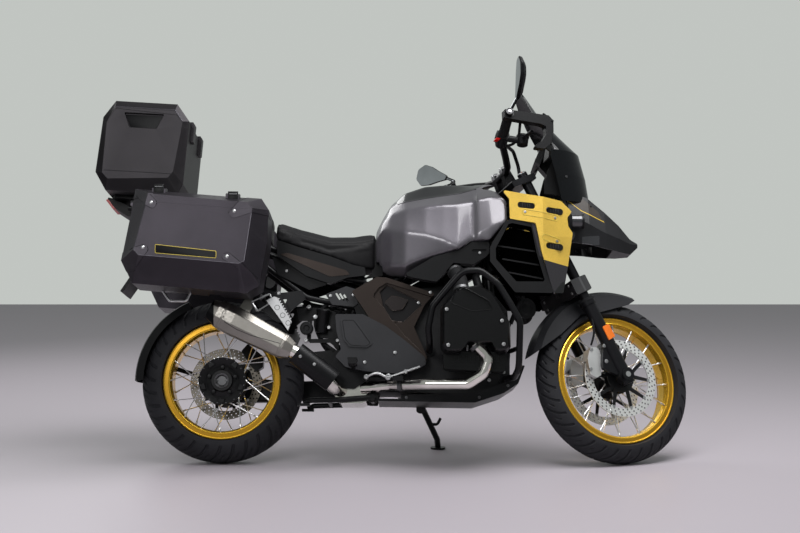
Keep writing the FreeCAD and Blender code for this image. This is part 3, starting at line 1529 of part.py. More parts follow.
front_wheel = {
    "front_tyre": tyre(front_radius, front_width, front_bead, front_rim_width),
    "front_rim": rim(front_bead, front_rim_width),
    "front_hub": front_hub(),
    "front_discs": front_discs(),
}
front_wheel["front_hub"] = carved(front_wheel["front_hub"], [front_wheel["front_rim"]])
rear_wheel = {
    "rear_tyre": tyre(rear_radius, rear_width, rear_bead, rear_rim_width),
    "rear_rim": rim(rear_bead, rear_rim_width),
    "rear_hub": rear_hub(),
    "rear_disc": rear_disc(),
}
rear_wheel["rear_hub"] = carved(rear_wheel["rear_hub"], [rear_wheel["rear_rim"]])

chassis = {}


def add(name, shape, *cutters):
    """Adds a chassis node, with the room of the named nodes cut out of it."""
    chassis[name] = carved(shape, [chassis[c] for c in cutters])


def sides(maker):
    """The left and right piece of a maker that takes a side."""
    return [maker(1), maker(-1)]


add("engine_block", engine_block())
add("cylinders", Part.makeCompound(sides(cylinder)), "engine_block")
add("main_frame", main_frame(), "engine_block")
add("swing_arm", swing_arm(), "main_frame", "engine_block")
add("suspension", suspension(), "main_frame", "engine_block", "swing_arm")
pipes = carved(exhaust_pipes(), [chassis[c] for c in ("engine_block", "cylinders", "main_frame", "swing_arm")])
chassis["exhaust"] = Part.makeCompound([pipes, carved(heat_shield(), [pipes, chassis["main_frame"]])])
add("silencer", silencer(), "exhaust")
add("engine_guards", Part.makeCompound(sides(engine_guard)), "engine_block", "cylinders", "main_frame", "exhaust")
add("skid_plate", skid_plate(), "engine_block", "exhaust", "engine_guards")
add("rear_frame", rear_frame(), "main_frame", "suspension", "silencer")
add("rear_mudguard", fused([rear_mudguard(), mudguard_arm()]), "swing_arm")
add("rider_seat", rider_seat(), "rear_frame", "main_frame")
add("passenger_seat", passenger_seat(), "rear_frame", "rider_seat")
add("fuel_tank", fuel_tank(), "main_frame", "rider_seat", "suspension")
cores = carved(Part.makeCompound(sides(radiator)), [chassis[c] for c in ("main_frame", "suspension", "engine_block")])
frames = carved(Part.makeCompound(sides(duct)), [cores, chassis["fuel_tank"], chassis["engine_guards"],
                                                 chassis["main_frame"]])
chassis["air_ducts"] = Part.makeCompound(cores.Solids + frames.Solids)
add("side_panels", Part.makeCompound(sides(side_panel)), "fuel_tank", "air_ducts", "main_frame")
add("nose", beak().cut(steering_sweep()), "side_panels", "main_frame")
add("windscreen", windscreen().cut(steering_sweep()), "nose")
add("instruments", instrument_carrier().cut(steering_sweep()), "windscreen", "nose")
arms = carved(Part.makeCompound(sides(frame_arm)), [chassis[c] for c in ("main_frame", "cylinders", "engine_guards",
                                                                         "engine_block", "fuel_tank")])
chassis["frame_arms"] = arms
covers = Part.makeCompound(sides(rear_cover) + sides(slotted_cover) + sides(tank_cover) + sides(seat_trim))
add("side_covers", covers, "main_frame", "frame_arms", "engine_block", "cylinders", "exhaust", "swing_arm",
    "rear_frame", "rider_seat", "fuel_tank", "air_ducts", "engine_guards")
add("foot_controls", foot_controls(), "main_frame", "side_covers", "exhaust", "engine_block", "frame_arms")
top_body, top_lid = top_case()
add("top_case", top_body, "rear_frame")
lights = carved(Part.makeCompound([headlight(), nose_shell().common(side_windows()), tail_lamp()] + sides(fog_lamp)),
                [chassis[c] for c in ("nose", "side_panels", "windscreen", "instruments", "main_frame", "rear_frame",
                                      "top_case")])
chassis["lamps"] = lights
add("tail_unit", tail_unit(), "rear_frame", "top_case", "lamps")
pannier_body, pannier_lid = pannier()
add("panniers", Part.makeCompound([pannier_body, stepped_pannier(pannier_body)]), "rear_frame", "silencer")

single = {
    "top_case_lid": top_lid,
    "pannier_lid_left": pannier_lid,
    "pannier_lid_right": mirror(pannier_lid),
    "centre_stand": centre_stand(),
}

turn = steering_turn(steer_at_rest)
row = {}
for name, shape in chassis.items():
    row[name] = placed(shape, place)
for name, shape in single.items():
    row[name] = placed(shape, place)
for name, shape in steering.items():
    row[name] = placed(shape, place.multiply(turn))
for name, shape in front_wheel.items():
    row[name] = placed(wheel_at(shape, front_axle), place.multiply(turn))
for name, shape in rear_wheel.items():
    row[name] = placed(wheel_at(shape, rear_axle), place)
row["side_stand"] = side_stand(place)

whole = FreeCAD.BoundBox()
for shape in row.values():
    for corner in shape.tessellate(0.5)[0]:
        whole.add(corner)
centre = V(-(whole.XMin + whole.XMax) / 2, -(whole.YMin + whole.YMax) / 2, 0)


def report(name, local, direction, frame):
    """Prints a point and a direction of the parked machine, for the joints and mounts."""
    point = frame.multVec(local) + centre
    aim = frame.Rotation.multVec(direction)
    print("POINT %s %.3f %.3f %.3f %.6f %.6f %.6f" % (name, point.x, point.y, point.z, aim.x, aim.y, aim.z))


os.makedirs("parts", exist_ok=True)
for name, shape in row.items():
    shape.translate(centre)
    shape.exportStep("parts/" + name + ".step")

turned_frame = place.multiply(turn)
still = FreeCAD.Placement()
report("rear_wheel_spin", rear_axle, Y_AXIS, place)
report("front_wheel_spin", front_axle, Y_AXIS, turned_frame)
report("steering", steer_ground, steer_dir, place)
report("steering_bearing", along_steering(top_bridge_at, 0, 0), steer_dir, place)
report("side_stand", place.multVec(side_stand_pivot), stand_axis(place), still)
report("centre_stand", centre_pivot, Y_AXIS * -1, place)
report("top_case_lid", top_hinge, Y_AXIS * -1, place)
report("pannier_lid_left", pannier_hinge, Y_AXIS * -1, place)
report("pannier_lid_right", V(pannier_hinge.x, -pannier_hinge.y, pannier_hinge.z), Y_AXIS * -1, place)
report("front_axle_bore", front_axle + V(0, -spindle_half, 0), Y_AXIS * -1, turned_frame)
report("rear_axle_bore", rear_axle + V(0, -58, 0), Y_AXIS * -1, place)
report("stand_foot", V(stand_foot_x, stand_foot_y, 0), Z_AXIS * -1, still)
print("ANGLE side_stand %.3f" % stand_angle(place))
print("SIZE %.1f %.1f %.1f" % (whole.XLength, whole.YLength, whole.ZLength))
print("SHIFT %.3f %.3f" % (centre.x, centre.y))
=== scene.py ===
import bpy, bmesh, math
from mathutils import Vector, Matrix
from mathutils.bvhtree import BVHTree


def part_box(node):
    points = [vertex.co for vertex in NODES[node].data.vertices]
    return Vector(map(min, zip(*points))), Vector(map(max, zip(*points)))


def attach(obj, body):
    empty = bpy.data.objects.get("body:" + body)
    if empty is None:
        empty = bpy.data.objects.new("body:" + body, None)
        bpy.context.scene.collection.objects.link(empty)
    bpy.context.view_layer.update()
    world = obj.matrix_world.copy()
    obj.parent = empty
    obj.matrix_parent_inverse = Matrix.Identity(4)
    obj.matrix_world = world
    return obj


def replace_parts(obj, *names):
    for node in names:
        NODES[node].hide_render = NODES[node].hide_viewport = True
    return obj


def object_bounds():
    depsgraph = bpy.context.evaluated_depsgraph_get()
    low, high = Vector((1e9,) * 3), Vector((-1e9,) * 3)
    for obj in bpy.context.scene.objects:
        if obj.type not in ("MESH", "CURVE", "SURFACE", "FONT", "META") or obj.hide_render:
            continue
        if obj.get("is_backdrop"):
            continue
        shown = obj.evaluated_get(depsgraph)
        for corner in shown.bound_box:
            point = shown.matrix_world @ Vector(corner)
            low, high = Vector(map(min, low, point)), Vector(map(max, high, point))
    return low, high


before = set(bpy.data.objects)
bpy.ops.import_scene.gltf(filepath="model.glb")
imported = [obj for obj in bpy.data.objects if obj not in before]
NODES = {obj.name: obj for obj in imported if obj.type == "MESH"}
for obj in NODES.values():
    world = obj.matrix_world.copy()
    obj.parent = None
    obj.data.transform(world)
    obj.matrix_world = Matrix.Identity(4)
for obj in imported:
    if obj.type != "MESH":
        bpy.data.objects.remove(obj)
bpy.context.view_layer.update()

# The machine's own upright frame, as modelled, and how it is parked (millimetres and degrees).
SHIFT = (-675.207, -188.314)
LEAN, STEER, RAKE = 12.0, 23.0, math.radians(26.2)
PITCH, LIFT = 0.305, 1.75
WHEELBASE, TRAIL = 1534.0, 118.8
# each tyre's radius and width, its bead's radius and its rim's width
FRONT_SIZE = (325.3, 120, 241.3, 84)
REAR_SIZE = (317.9, 170, 215.9, 122)
# each hub's flange: its radius and its distance from the middle
FRONT_FLANGE, REAR_FLANGE = (56, 42), (92, 46)
AXIS_FOOT = Vector((WHEELBASE + TRAIL, 0, 0))
FRONT_AXLE = Vector((WHEELBASE, 0, FRONT_SIZE[0]))
REAR_AXLE = Vector((0, 0, REAR_SIZE[0]))
# along the fork's legs, and forward from them
UP_FORK = Vector((-math.sin(RAKE), 0, math.cos(RAKE)))
AHEAD = Vector((math.cos(RAKE), 0, math.sin(RAKE)))
# how far up the legs the lower bridge is, and each leg's distance from the middle
BRIDGE, LEG = 392, 108


def park_matrix():
    lean = Matrix.Rotation(math.radians(-LEAN), 4, "X")
    pitch = Matrix.Rotation(math.radians(PITCH), 4, "Y")
    return Matrix.Translation((SHIFT[0], SHIFT[1], LIFT)) @ (lean @ pitch)


def steer_matrix():
    back = Matrix.Translation(AXIS_FOOT)
    return back @ Matrix.Rotation(math.radians(STEER), 4, UP_FORK) @ back.inverted()


PARK = Matrix.Scale(0.001, 4) @ park_matrix()
TURNED = PARK @ steer_matrix()
FRONT_WHEEL = TURNED @ Matrix.Translation(FRONT_AXLE)
REAR_WHEEL = PARK @ Matrix.Translation(REAR_AXLE)


# Materials

def feed(tree, socket, value):
    """Links another node's output to an input, or sets the input's own value."""
    if isinstance(value, bpy.types.NodeSocket):
        tree.links.new(value, socket)
    else:
        socket.default_value = value


def node(tree, kind, **inputs):
    n = tree.nodes.new(kind)
    for key, value in inputs.items():
        feed(tree, n.inputs[key.replace("_", " ")], value)
    return n


def ramp(tree, factor, low, high, start=0.35, stop=0.65):
    r = node(tree, "ShaderNodeValToRGB", Fac=factor)
    for element, place, colour in zip(r.color_ramp.elements, (start, stop), (low, high)):
        element.position, element.color = place, tuple(colour) + (1,)
    return r.outputs["Color"]


def maths(tree, operation, *values, clamp=False):
    n = tree.nodes.new("ShaderNodeMath")
    n.operation, n.use_clamp = operation, clamp
    for socket, value in zip(n.inputs, values):
        feed(tree, socket, value)
    return n.outputs[0]


def blend(tree, base, over, factor, kind="MIX"):
    """Lays one colour over another by a factor."""
    mix = tree.nodes.new("ShaderNodeMix")
    mix.data_type, mix.blend_type = "RGBA", kind
    for key, value in (("A", base), ("B", over), ("Factor", factor)):
        feed(tree, mix.inputs[key], value)
    return mix.outputs["Result"]


def inside(tree, where, outline):
    """1 inside a convex outline of (x, z) points in the upright frame, 0 outside, softly."""
    back = PARK.inverted()
    cx = sum(p[0] for p in outline) / len(outline)
    cz = sum(p[1] for p in outline) / len(outline)
    least = None
    for (ax, az), (bx, bz) in zip(outline, outline[1:] + outline[:1]):
        normal = Vector((-(bz - az), 0, bx - ax)).normalized()
        if normal.x * (cx - ax) + normal.z * (cz - az) < 0:
            normal = -normal
        row = Vector((back.row[0][:3])) * normal.x + Vector((back.row[2][:3])) * normal.z
        shift = back[0][3] * normal.x + back[2][3] * normal.z - (ax * normal.x + az * normal.z)
        dot = tree.nodes.new("ShaderNodeVectorMath")
        dot.operation = "DOT_PRODUCT"
        dot.inputs[1].default_value = row
        tree.links.new(where, dot.inputs[0])
        distance = maths(tree, "ADD", dot.outputs["Value"], shift)
        least = maths(tree, "MINIMUM", least, distance) if least else distance
    return maths(tree, "MULTIPLY_ADD", least, 1.2, 0.5, clamp=True)


def surface(name, colour, rough, metal=0.0, grain=900, bump=0.05, vary=0.12, coat=0.0, flake=0.0,
        sheen=0.0, stretch=(1, 1, 1), pale_edges=0.0, zones=(), alpha=1.0, shine=0.5):
    """A material with fine grain, uneven roughness and a slight change of tone over the piece.

    zones are (outline, colour, outside): another colour inside or outside a convex outline."""
    m = bpy.data.materials.new(name)
    m.use_nodes = True
    t = m.node_tree
    p = t.nodes["Principled BSDF"]
    for key, value in (("Metallic", metal), ("Coat Weight", coat), ("Coat Roughness", 0.08),
            ("Sheen Weight", sheen), ("Alpha", alpha), ("Specular IOR Level", shine)):
        p.inputs[key].default_value = value
    where = node(t, "ShaderNodeTexCoord").outputs["Object"]
    broad = node(t, "ShaderNodeTexNoise", Vector=where, Scale=7.0, Detail=4.0)
    last = ramp(t, broad.outputs["Fac"], [c * (1 - vary) for c in colour],
        [min(1, c * (1 + vary)) for c in colour])
    if flake:
        cells = node(t, "ShaderNodeTexVoronoi", Vector=where, Scale=2600.0)
        last = blend(t, last, ramp(t, cells.outputs["Color"], (0, 0, 0), (flake,) * 3, 0.55, 0.95),
            1.0, "ADD")
    # convex edges are made lighter by this share
    if pale_edges:
        edge = ramp(t, node(t, "ShaderNodeNewGeometry").outputs["Pointiness"], (0, 0, 0), (1, 1, 1),
            0.5, 0.62)
        edge_colour = tuple(min(1, c * 1.9 + 0.03) for c in colour) + (1,)
        last = blend(t, last, edge_colour, maths(t, "MULTIPLY", edge, pale_edges))
    for outline, paint, outside in zones:
        factor = inside(t, where, outline)
        if outside:
            factor = maths(t, "SUBTRACT", 1.0, factor)
        last = blend(t, last, paint + (1,), factor)
    feed(t, p.inputs["Base Color"], last)
    scaled = node(t, "ShaderNodeMapping", Vector=where, Scale=stretch).outputs["Vector"]
    fine = node(t, "ShaderNodeTexNoise", Vector=scaled, Scale=grain, Detail=6.0).outputs["Fac"]
    feed(t, p.inputs["Roughness"], ramp(t, fine, (max(0, rough - 0.08),) * 3,
        (min(1, rough + 0.08),) * 3))
    dents = node(t, "ShaderNodeBump", Strength=bump, Distance=0.001, Height=fine)
    feed(t, p.inputs["Normal"], dents.outputs["Normal"])
    return m


# Outlines on the side view, as (x, z) points: where a colour changes, where a painted highlight or
# painted shade lies, and the frame arm's recess
TIP_CORNER = [(1314, 685), (1337, 686), (1325, 618), (1260, 618)]
DARK_TIP = [(1235, 768), (1345, 744), (1326, 620), (1215, 620)]
TANK_TOP = [(560, 1000), (682, 1015), (810, 1036), (928, 1053), (1000, 1077), (1020, 1094),
    (1020, 1300), (560, 1300)]
# outside this outline, mostly the tank's front shoulder, the tank is painted lighter: a painted
# highlight
SHOULDER_HIGHLIGHT_EDGE = [(500, 1100), (500, 700), (905, 806), (920, 809), (975, 855), (984, 960),
    (991, 1049), (998, 1100)]
CHEEK = [(1338, 1038), (1385, 1059), (1469, 985), (1498, 945), (1404, 985)]
DUCT_FRONT = [(1194, 925), (1221, 918), (1281, 759), (1334, 736), (1287, 631), (1260, 639)]
CHEEK_INNER = [(1336, 1041), (1385, 1064), (1475, 989), (1493, 950), (1404.5, 988.5)]
CAP_END = [(-15, 660), (-90, 660), (-90, 470), (-12, 470)]
# the frame arm's recess, painted nearly black, and the box in it, painted a little darker: painted
# shade standing in for the relief
ARM_RECESS = [(614, 656), (642, 684), (768, 622), (780, 606), (707, 538), (663, 541), (627, 601)]
ARM_BOX = [(634, 614), (663, 642), (727, 626), (702, 588), (665, 582)]

M = {
    "tyre": surface("tyre_rubber", (0.014, 0.014, 0.017), 0.66, shine=0.25, grain=500, bump=0.2,
        vary=0.2),
    "gold": surface("gold_rim", (0.95, 0.56, 0.045), 0.26, metal=0.85, bump=0.01, coat=0.4,
        vary=0.04),
    "gold_shade": surface("gold_rim_shade", (0.5, 0.265, 0.02), 0.35, metal=0.8, bump=0.01,
        vary=0.04),
    "hub": surface("hub_paint", (0.009, 0.009, 0.01), 0.42, metal=0.3, shine=0.3, grain=800),
    "spoke": surface("spoke_steel", (0.62, 0.62, 0.62), 0.3, metal=1.0, grain=700, bump=0.02),
    "disc": surface("disc_steel", (0.82, 0.82, 0.81), 0.36, metal=0.75, grain=700, bump=0.04),
    "disc_worn": surface("disc_worn", (0.17, 0.155, 0.135), 0.42, metal=1.0, grain=700, bump=0.04),
    "engine": surface("engine_cast", (0.009, 0.009, 0.01), 0.45, metal=0.2, shine=0.25, grain=600,
        bump=0.25, pale_edges=0.3),
    "cover": surface("valve_cover", (0.0035, 0.0035, 0.004), 0.32, metal=0.1, shine=0.2, bump=0.06,
        coat=0.1),
    # the arm's recess and box are painted darker: painted shade
    "frame": surface("frame_bronze", (0.026, 0.018, 0.015), 0.36, metal=0.5, shine=0.35,
        zones=[(ARM_RECESS, (0.009, 0.008, 0.009), False), (ARM_BOX, (0.02, 0.016, 0.016), False)]),
    # a paler bronze for lines on the frame arm's edges: a painted highlight
    "frame_edge_highlight": surface("frame_edge_highlight", (0.07, 0.055, 0.048), 0.35, metal=0.6, bump=0.02),
    "black_metal": surface("black_metal", (0.007, 0.007, 0.008), 0.34, metal=0.4, shine=0.25),
    "black": surface("black_plastic", (0.0055, 0.0055, 0.0063), 0.45, shine=0.17, grain=1200,
        bump=0.12),
    # nearly black, matte and without shine: painted shade inside the ducts
    "deep": surface("duct_inside_shade", (0.0012, 0.0012, 0.0014), 0.9, shine=0.0, bump=0.1),
    "bridge": surface("bridge_metal", (0.045, 0.045, 0.047), 0.4, metal=0.5, grain=700),
    "rubber": surface("black_rubber", (0.008, 0.008, 0.009), 0.75, shine=0.2, bump=0.2),
    "grey": surface("grey_plastic", (0.018, 0.018, 0.021), 0.46, shine=0.3, grain=1200, bump=0.12),
    "duct": surface("duct_surround", (0.007, 0.007, 0.008), 0.46, shine=0.2, grain=1200, bump=0.12,
        zones=[(DUCT_FRONT, (0.036, 0.034, 0.042), False)]),
    "nose": surface("nose_plastic", (0.011, 0.011, 0.0125), 0.45, shine=0.25, grain=1200, bump=0.12,
        zones=[(CHEEK, (0.55, 0.36, 0.03), False), (CHEEK_INNER, (0.03, 0.024, 0.02), False)]),
    # the tank's front shoulder is painted lighter as a painted highlight, and its top is dark
    "tank": surface("tank_paint", (0.105, 0.097, 0.113), 0.36, metal=0.6, grain=500, bump=0.0,
        coat=0.7, flake=0.03, zones=[(SHOULDER_HIGHLIGHT_EDGE, (0.12, 0.112, 0.127), True),
        (TANK_TOP, (0.014, 0.014, 0.016), False)]),
    "yellow": surface("yellow_paint", (0.77, 0.5, 0.065), 0.34, metal=0.45, grain=500, bump=0.0,
        coat=0.7, flake=0.05, zones=[(DARK_TIP, (0.03, 0.027, 0.032), False),
        (TIP_CORNER, (0.006, 0.006, 0.007), False)]),
    "yellow_line": surface("yellow_line", (0.55, 0.42, 0.06), 0.5, grain=500),
    "titan": surface("silencer_metal", (0.27, 0.255, 0.235), 0.38, metal=1.0, grain=120, bump=0.03,
        stretch=(1, 8, 1), zones=[(CAP_END, (0.012, 0.012, 0.013), False)]),
    "chrome": surface("header_metal", (0.75, 0.72, 0.68), 0.14, metal=1.0, grain=300, bump=0.01),
    "alu": surface("cast_aluminium", (0.62, 0.62, 0.62), 0.38, metal=0.8, grain=700, bump=0.08),
    "silver": surface("silver_fittings", (0.46, 0.46, 0.47), 0.38, metal=1.0, grain=700, bump=0.02),
    "fork": surface("fork_metal", (0.012, 0.012, 0.014), 0.35, metal=0.6, shine=0.3, grain=700,
        bump=0.03),
    "clamp": surface("clamp_metal", (0.11, 0.11, 0.115), 0.4, metal=0.8, grain=700),
    "case_dark": surface("top_case_metal", (0.0125, 0.0107, 0.0129), 0.42, metal=0.7, grain=1500,
        pale_edges=0.3),
    "case": surface("case_metal", (0.03, 0.026, 0.033), 0.42, metal=0.7, grain=1500, pale_edges=0.3),
    # a paler case metal for lines along the cases' edges: a painted highlight
    "case_edge_highlight": surface("case_edge_highlight", (0.09, 0.085, 0.1), 0.36, metal=0.8, grain=1500, bump=0.02),
    "seat": surface("seat_vinyl", (0.005, 0.0047, 0.0056), 0.58, shine=0.16, bump=0.3, sheen=0.03),
    "screen": surface("smoked_screen", (0.005, 0.0055, 0.0065), 0.12, shine=0.22, grain=200,
        bump=0.0, alpha=0.95),
    "lamp": surface("lamp_glass", (0.3, 0.32, 0.34), 0.1, metal=0.2, grain=200, bump=0.0, coat=1.0),
    "lamp_dark": surface("lamp_inside", (0.03, 0.03, 0.035), 0.12, metal=0.3, grain=200, bump=0.0,
        coat=1.0),
    "mirror": surface("mirror_glass", (0.55, 0.57, 0.6), 0.05, metal=1.0, grain=200, bump=0.0),
    "display": surface("display_glass", (0.01, 0.012, 0.015), 0.08, grain=200, bump=0.0, coat=1.0),
    "plate": surface("blank_plate", (0.5, 0.5, 0.5), 0.4, grain=500, bump=0.02),
    "orange": surface("orange_reflector", (0.75, 0.16, 0.01), 0.2, grain=400, bump=0.02, coat=0.6),
    "red": surface("red_lens", (0.5, 0.006, 0.005), 0.3, shine=0.3, grain=400, bump=0.02),
}

# Which nodes each material goes on; the others are black
COVERED = {
    "tyre": "front_tyre rear_tyre", "gold": "front_rim rear_rim", "hub": "front_hub rear_hub",
    "disc": "front_discs rear_disc", "engine": "engine_block", "cover": "cylinders",
    "frame": "frame_arms", "grey": "side_covers front_mudguard", "tank": "fuel_tank",
    "yellow": "side_panels", "chrome": "exhaust", "titan": "silencer",
    "case_dark": "top_case top_case_lid", "case": "panniers pannier_lid_left pannier_lid_right",
    "seat": "rider_seat passenger_seat", "screen": "windscreen", "lamp": "lamps", "nose": "nose",
    "alu": "front_calipers", "fork": "fork",
    "black_metal": "main_frame rear_frame swing_arm skid_plate engine_guards side_stand "
    "centre_stand handlebar suspension",
}
FINISH = {name: key for key, names in COVERED.items() for name in names.split()}


def dress(obj, *materials):
    obj.data.materials.clear()
    for material in materials:
        obj.data.materials.append(material)


for name, obj in NODES.items():
    dress(obj, M[FINISH.get(name, "black")])


def local_points(name, matrix=PARK):
    back = matrix.inverted()
    return [back @ v.co for v in NODES[name].data.vertices]


def islands(mesh):
    """The island number of each polygon, where corners at one place count as joined."""
    parent = {}

    def find(a):
        while parent.setdefault(a, a) != a:
            parent[a] = parent[parent[a]]
            a = parent[a]
        return a

    keys = [tuple(round(c * 1e5) for c in v.co) for v in mesh.vertices]
    for poly in mesh.polygons:
        roots = [find(keys[i]) for i in poly.vertices]
        for root in roots[1:]:
            parent[find(root)] = find(roots[0])
    return [find(keys[poly.vertices[0]]) for poly in mesh.polygons]


def paint(name, materials, choose, matrix=PARK):
    """Gives each polygon of a node the material that choose names from its middle and normal."""
    obj = NODES[name]
    dress(obj, *[M[key] for key in materials])
    back, turn = matrix.inverted(), matrix.to_3x3().normalized().inverted()
    for poly in obj.data.polygons:
        poly.material_index = materials.index(choose(back @ poly.center, turn @ poly.normal))


def paint_solids(name, materials, choose):
    """Gives each solid of a node the material that choose names from its middle and its size."""
    obj = NODES[name]
    dress(obj, *[M[key] for key in materials])
    groups = islands(obj.data)
    points, back = {}, PARK.inverted()
    for poly, group in zip(obj.data.polygons, groups):
        points.setdefault(group, []).extend(back @ obj.data.vertices[i].co for i in poly.vertices)
    chosen = {}
    for group, corners in points.items():
        low = Vector([min(c[i] for c in corners) for i in range(3)])
        high = Vector([max(c[i] for c in corners) for i in range(3)])
        chosen[group] = materials.index(choose((low + high) / 2, high - low))
    for poly, group in zip(obj.data.polygons, groups):
        poly.material_index = chosen[group]


def lamp_kind(middle, size):
    if middle.x < 0:
        return "red"
    return "lamp_dark" if abs(middle.y) > 60 else "lamp"


def exhaust_part(middle, size):
    return "black_metal" if size.y < 150 else "chrome"


def cover_part(middle, size):
    return "grey" if middle.z < 640 else "black"


def hub_part(flange):
    """The spokes start where the hub's flange ends."""
    return lambda at, normal: "spoke" if math.hypot(at.x, at.z) > flange + 1 else "hub"


# The rim's side faces, with the groove between the ridges, take a darker copy of the gold: painted
# shade.
def rim_part(at, normal):
    return "gold_shade" if abs(normal.y) > 0.5 else "gold"


def mirror_part(at, normal):
    """The glass is the face that looks at the rider."""
    return "mirror" if normal.dot(Vector((-0.99, 0, 0.12))) > 0.85 else "black"


def pannier_part(at, normal):
    """The bail under each case is silver."""
    return "silver" if at.z < 636 and -216 < at.x < -98 and 255 < abs(at.y) < 277 else "case"


# All but the outer side faces are painted near black with no shine: painted shade inside the ducts.
def duct_part(at, normal):
    return "duct" if abs(normal.y) > 0.6 and abs(at.y) > 225 else "deep"


def fork_part(at, normal):
    """The lower bridge between the legs is lighter than the tubes."""
    return "bridge" if abs((at - FRONT_AXLE).dot(UP_FORK) - BRIDGE) < 36 else "fork"


paint_solids("lamps", ["lamp", "lamp_dark", "red"], lamp_kind)
paint_solids("exhaust", ["chrome", "black_metal", "alu"], exhaust_part)
paint_solids("side_covers", ["grey", "black"], cover_part)
paint("front_hub", ["hub", "spoke"], hub_part(FRONT_FLANGE[0]), FRONT_WHEEL)
paint("rear_hub", ["hub", "spoke"], hub_part(REAR_FLANGE[0]), REAR_WHEEL)
paint("front_rim", ["gold", "gold_shade"], rim_part, FRONT_WHEEL)
paint("rear_rim", ["gold", "gold_shade"], rim_part, REAR_WHEEL)
paint("mirrors", ["black", "mirror"], mirror_part, TURNED)
paint("fork", ["fork", "bridge"], fork_part, TURNED)
paint("panniers", ["case", "silver"], pannier_part)
paint("air_ducts", ["duct", "deep"], duct_part)


# Forms made in mesh code

def new_object(name, mesh):
    obj = bpy.data.objects.new(name, mesh)
    bpy.context.scene.collection.objects.link(obj)
    return obj


def mesh_piece(name, verts, faces, materials, kinds, body, sharp):
    """A piece from corners and faces, with its edges sharp past an angle, riding on its body."""
    mesh = bpy.data.meshes.new(name)
    mesh.from_pydata(verts, [], faces)
    obj = new_object(name, mesh)
    dress(obj, *[M[key] for key in materials])
    for poly, kind in zip(mesh.polygons, kinds):
        poly.material_index = kind
    b = bmesh.new()
    b.from_mesh(mesh)
    bmesh.ops.recalc_face_normals(b, faces=b.faces)
    b.to_mesh(mesh)
    b.free()
    mesh.shade_smooth()
    mesh.set_sharp_from_angle(angle=math.radians(sharp))
    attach(obj, body)
    return obj


def angles(n, phase=0.0):
    """The angles of n even steps round a circle."""
    return [phase + 2 * math.pi * k / n for k in range(n)]


def wheel_point(r, y, a):
    """The point at a radius and an angle round an axle."""
    return Vector((r * math.cos(a), y, r * math.sin(a)))


def mirrored(side, points):
    return [Vector((x, side * y, z)) for x, y, z in points]


class Form:
    """One mesh of many small shapes in an upright frame, in millimetres, each with its material."""

    def __init__(self, name, body, matrix=PARK, slot="black_plastic"):
        self.name, self.body, self.matrix, self.slot = name, body, matrix, slot
        self.verts, self.faces, self.kinds, self.keys = [], [], [], []

    def add(self, face, material):
        if material not in self.keys:
            self.keys.append(material)
        self.faces.append(tuple(face))
        self.kinds.append(self.keys.index(material))

    def rings(self, rings, material, ends=(True, True), closed=False):
        """Skins a list of rings with the same number of points, with flat ends where asked."""
        base, count = len(self.verts), len(rings[0])
        for ring in rings:
            self.verts.extend(Vector(p) for p in ring)
        last = len(rings) if closed else len(rings) - 1
        for i in range(last):
            a, b = base + i * count, base + ((i + 1) % len(rings)) * count
            for j in range(count):
                k = (j + 1) % count
                self.add((a + j, a + k, b + k, b + j), material)
        if ends[0] and not closed:
            self.add((base + j for j in reversed(range(count))), material)
        if ends[1] and not closed:
            self.add((base + last * count + j for j in range(count)), material)

    def lathe(self, centre, axis, profile, material, n=24):
        """Turns (distance along the axis, radius) pairs round an axis."""
        axis = Vector(axis).normalized()
        side = axis.cross(Vector((0.31, 0.2, 0.93))).normalized()
        other = axis.cross(side)
        rows = []
        for along, radius in profile:
            middle = Vector(centre) + axis * along
            rows.append([middle + (side * math.cos(a) + other * math.sin(a)) * radius
                for a in angles(n)])
        self.rings(rows, material)

    def screw(self, at, normal, radius, material="silver"):
        """A round-headed screw with a socket in its head."""
        r = radius
        self.lathe(at, normal, [(-0.6, r), (0.25 * r, r), (0.5 * r, 0.85 * r),
            (0.55 * r, 0.55 * r)], material, 18)
        self.lathe(at, normal, [(0.5 * r, 0.5 * r), (0.57 * r, 0.5 * r), (0.57 * r, 0.42 * r),
            (0.3 * r, 0.4 * r)], "black", 6)

    def rivet(self, at, normal, radius, material="silver"):
        r = radius
        self.lathe(at, normal, [(-0.6, r), (0.15 * r, r), (0.4 * r, 0.7 * r), (0.5 * r, 0.3 * r)],
            material, 14)

    def bar(self, a, b, radius, material, n=14, end=0.8):
        """A round bar with softened ends."""
        a, b = Vector(a), Vector(b)
        length = (b - a).length
        c = min(radius * 0.3, length * 0.2)
        self.lathe(a, b - a, [(0, radius * end), (c, radius), (length - c, radius),
            (length, radius * end)], material, n)

    def hose(self, points, radius, material, n=8, closed=False):
        """A round section carried along points."""
        points = [Vector(p) for p in points]
        rows, frame_side = [], None
        for i, p in enumerate(points):
            before = points[i - 1] if i or closed else p
            after = points[(i + 1) % len(points)] if i + 1 < len(points) or closed else p
            along = (after - before).normalized()
            if frame_side is None:
                frame_side = along.orthogonal().normalized()
            frame_side = (frame_side - along * frame_side.dot(along)).normalized()
            other = along.cross(frame_side)
            rows.append([p + (frame_side * math.cos(a) + other * math.sin(a)) * radius
                for a in angles(n)])
        self.rings(rows, material, closed=closed)

    def plate(self, outline, offset, material, soft=1.0):
        """A flat plate on a list of points, thick along an offset, its front edges softened."""
        points, offset = [Vector(p) for p in outline], Vector(offset)
        middle = sum(points, Vector()) / len(points)
        reach = sum((p - middle).length for p in points) / len(points)
        share = 1 - soft / reach
        top = [middle + (p - middle) * share for p in points]
        self.rings([points, [p + offset * 0.6 for p in points], [p + offset for p in top]],
            material)

    def flat(self, outline, y, thick, material, soft=1.0):
        """A plate on (x, z) points in the plane at y, thick along y."""
        self.plate([(x, y, z) for x, z in outline], (0, thick, 0), material, soft)

    def build(self):
        placed = [self.matrix @ v for v in self.verts]
        return mesh_piece(self.name, placed, self.faces, self.keys, self.kinds, self.body,
            32)


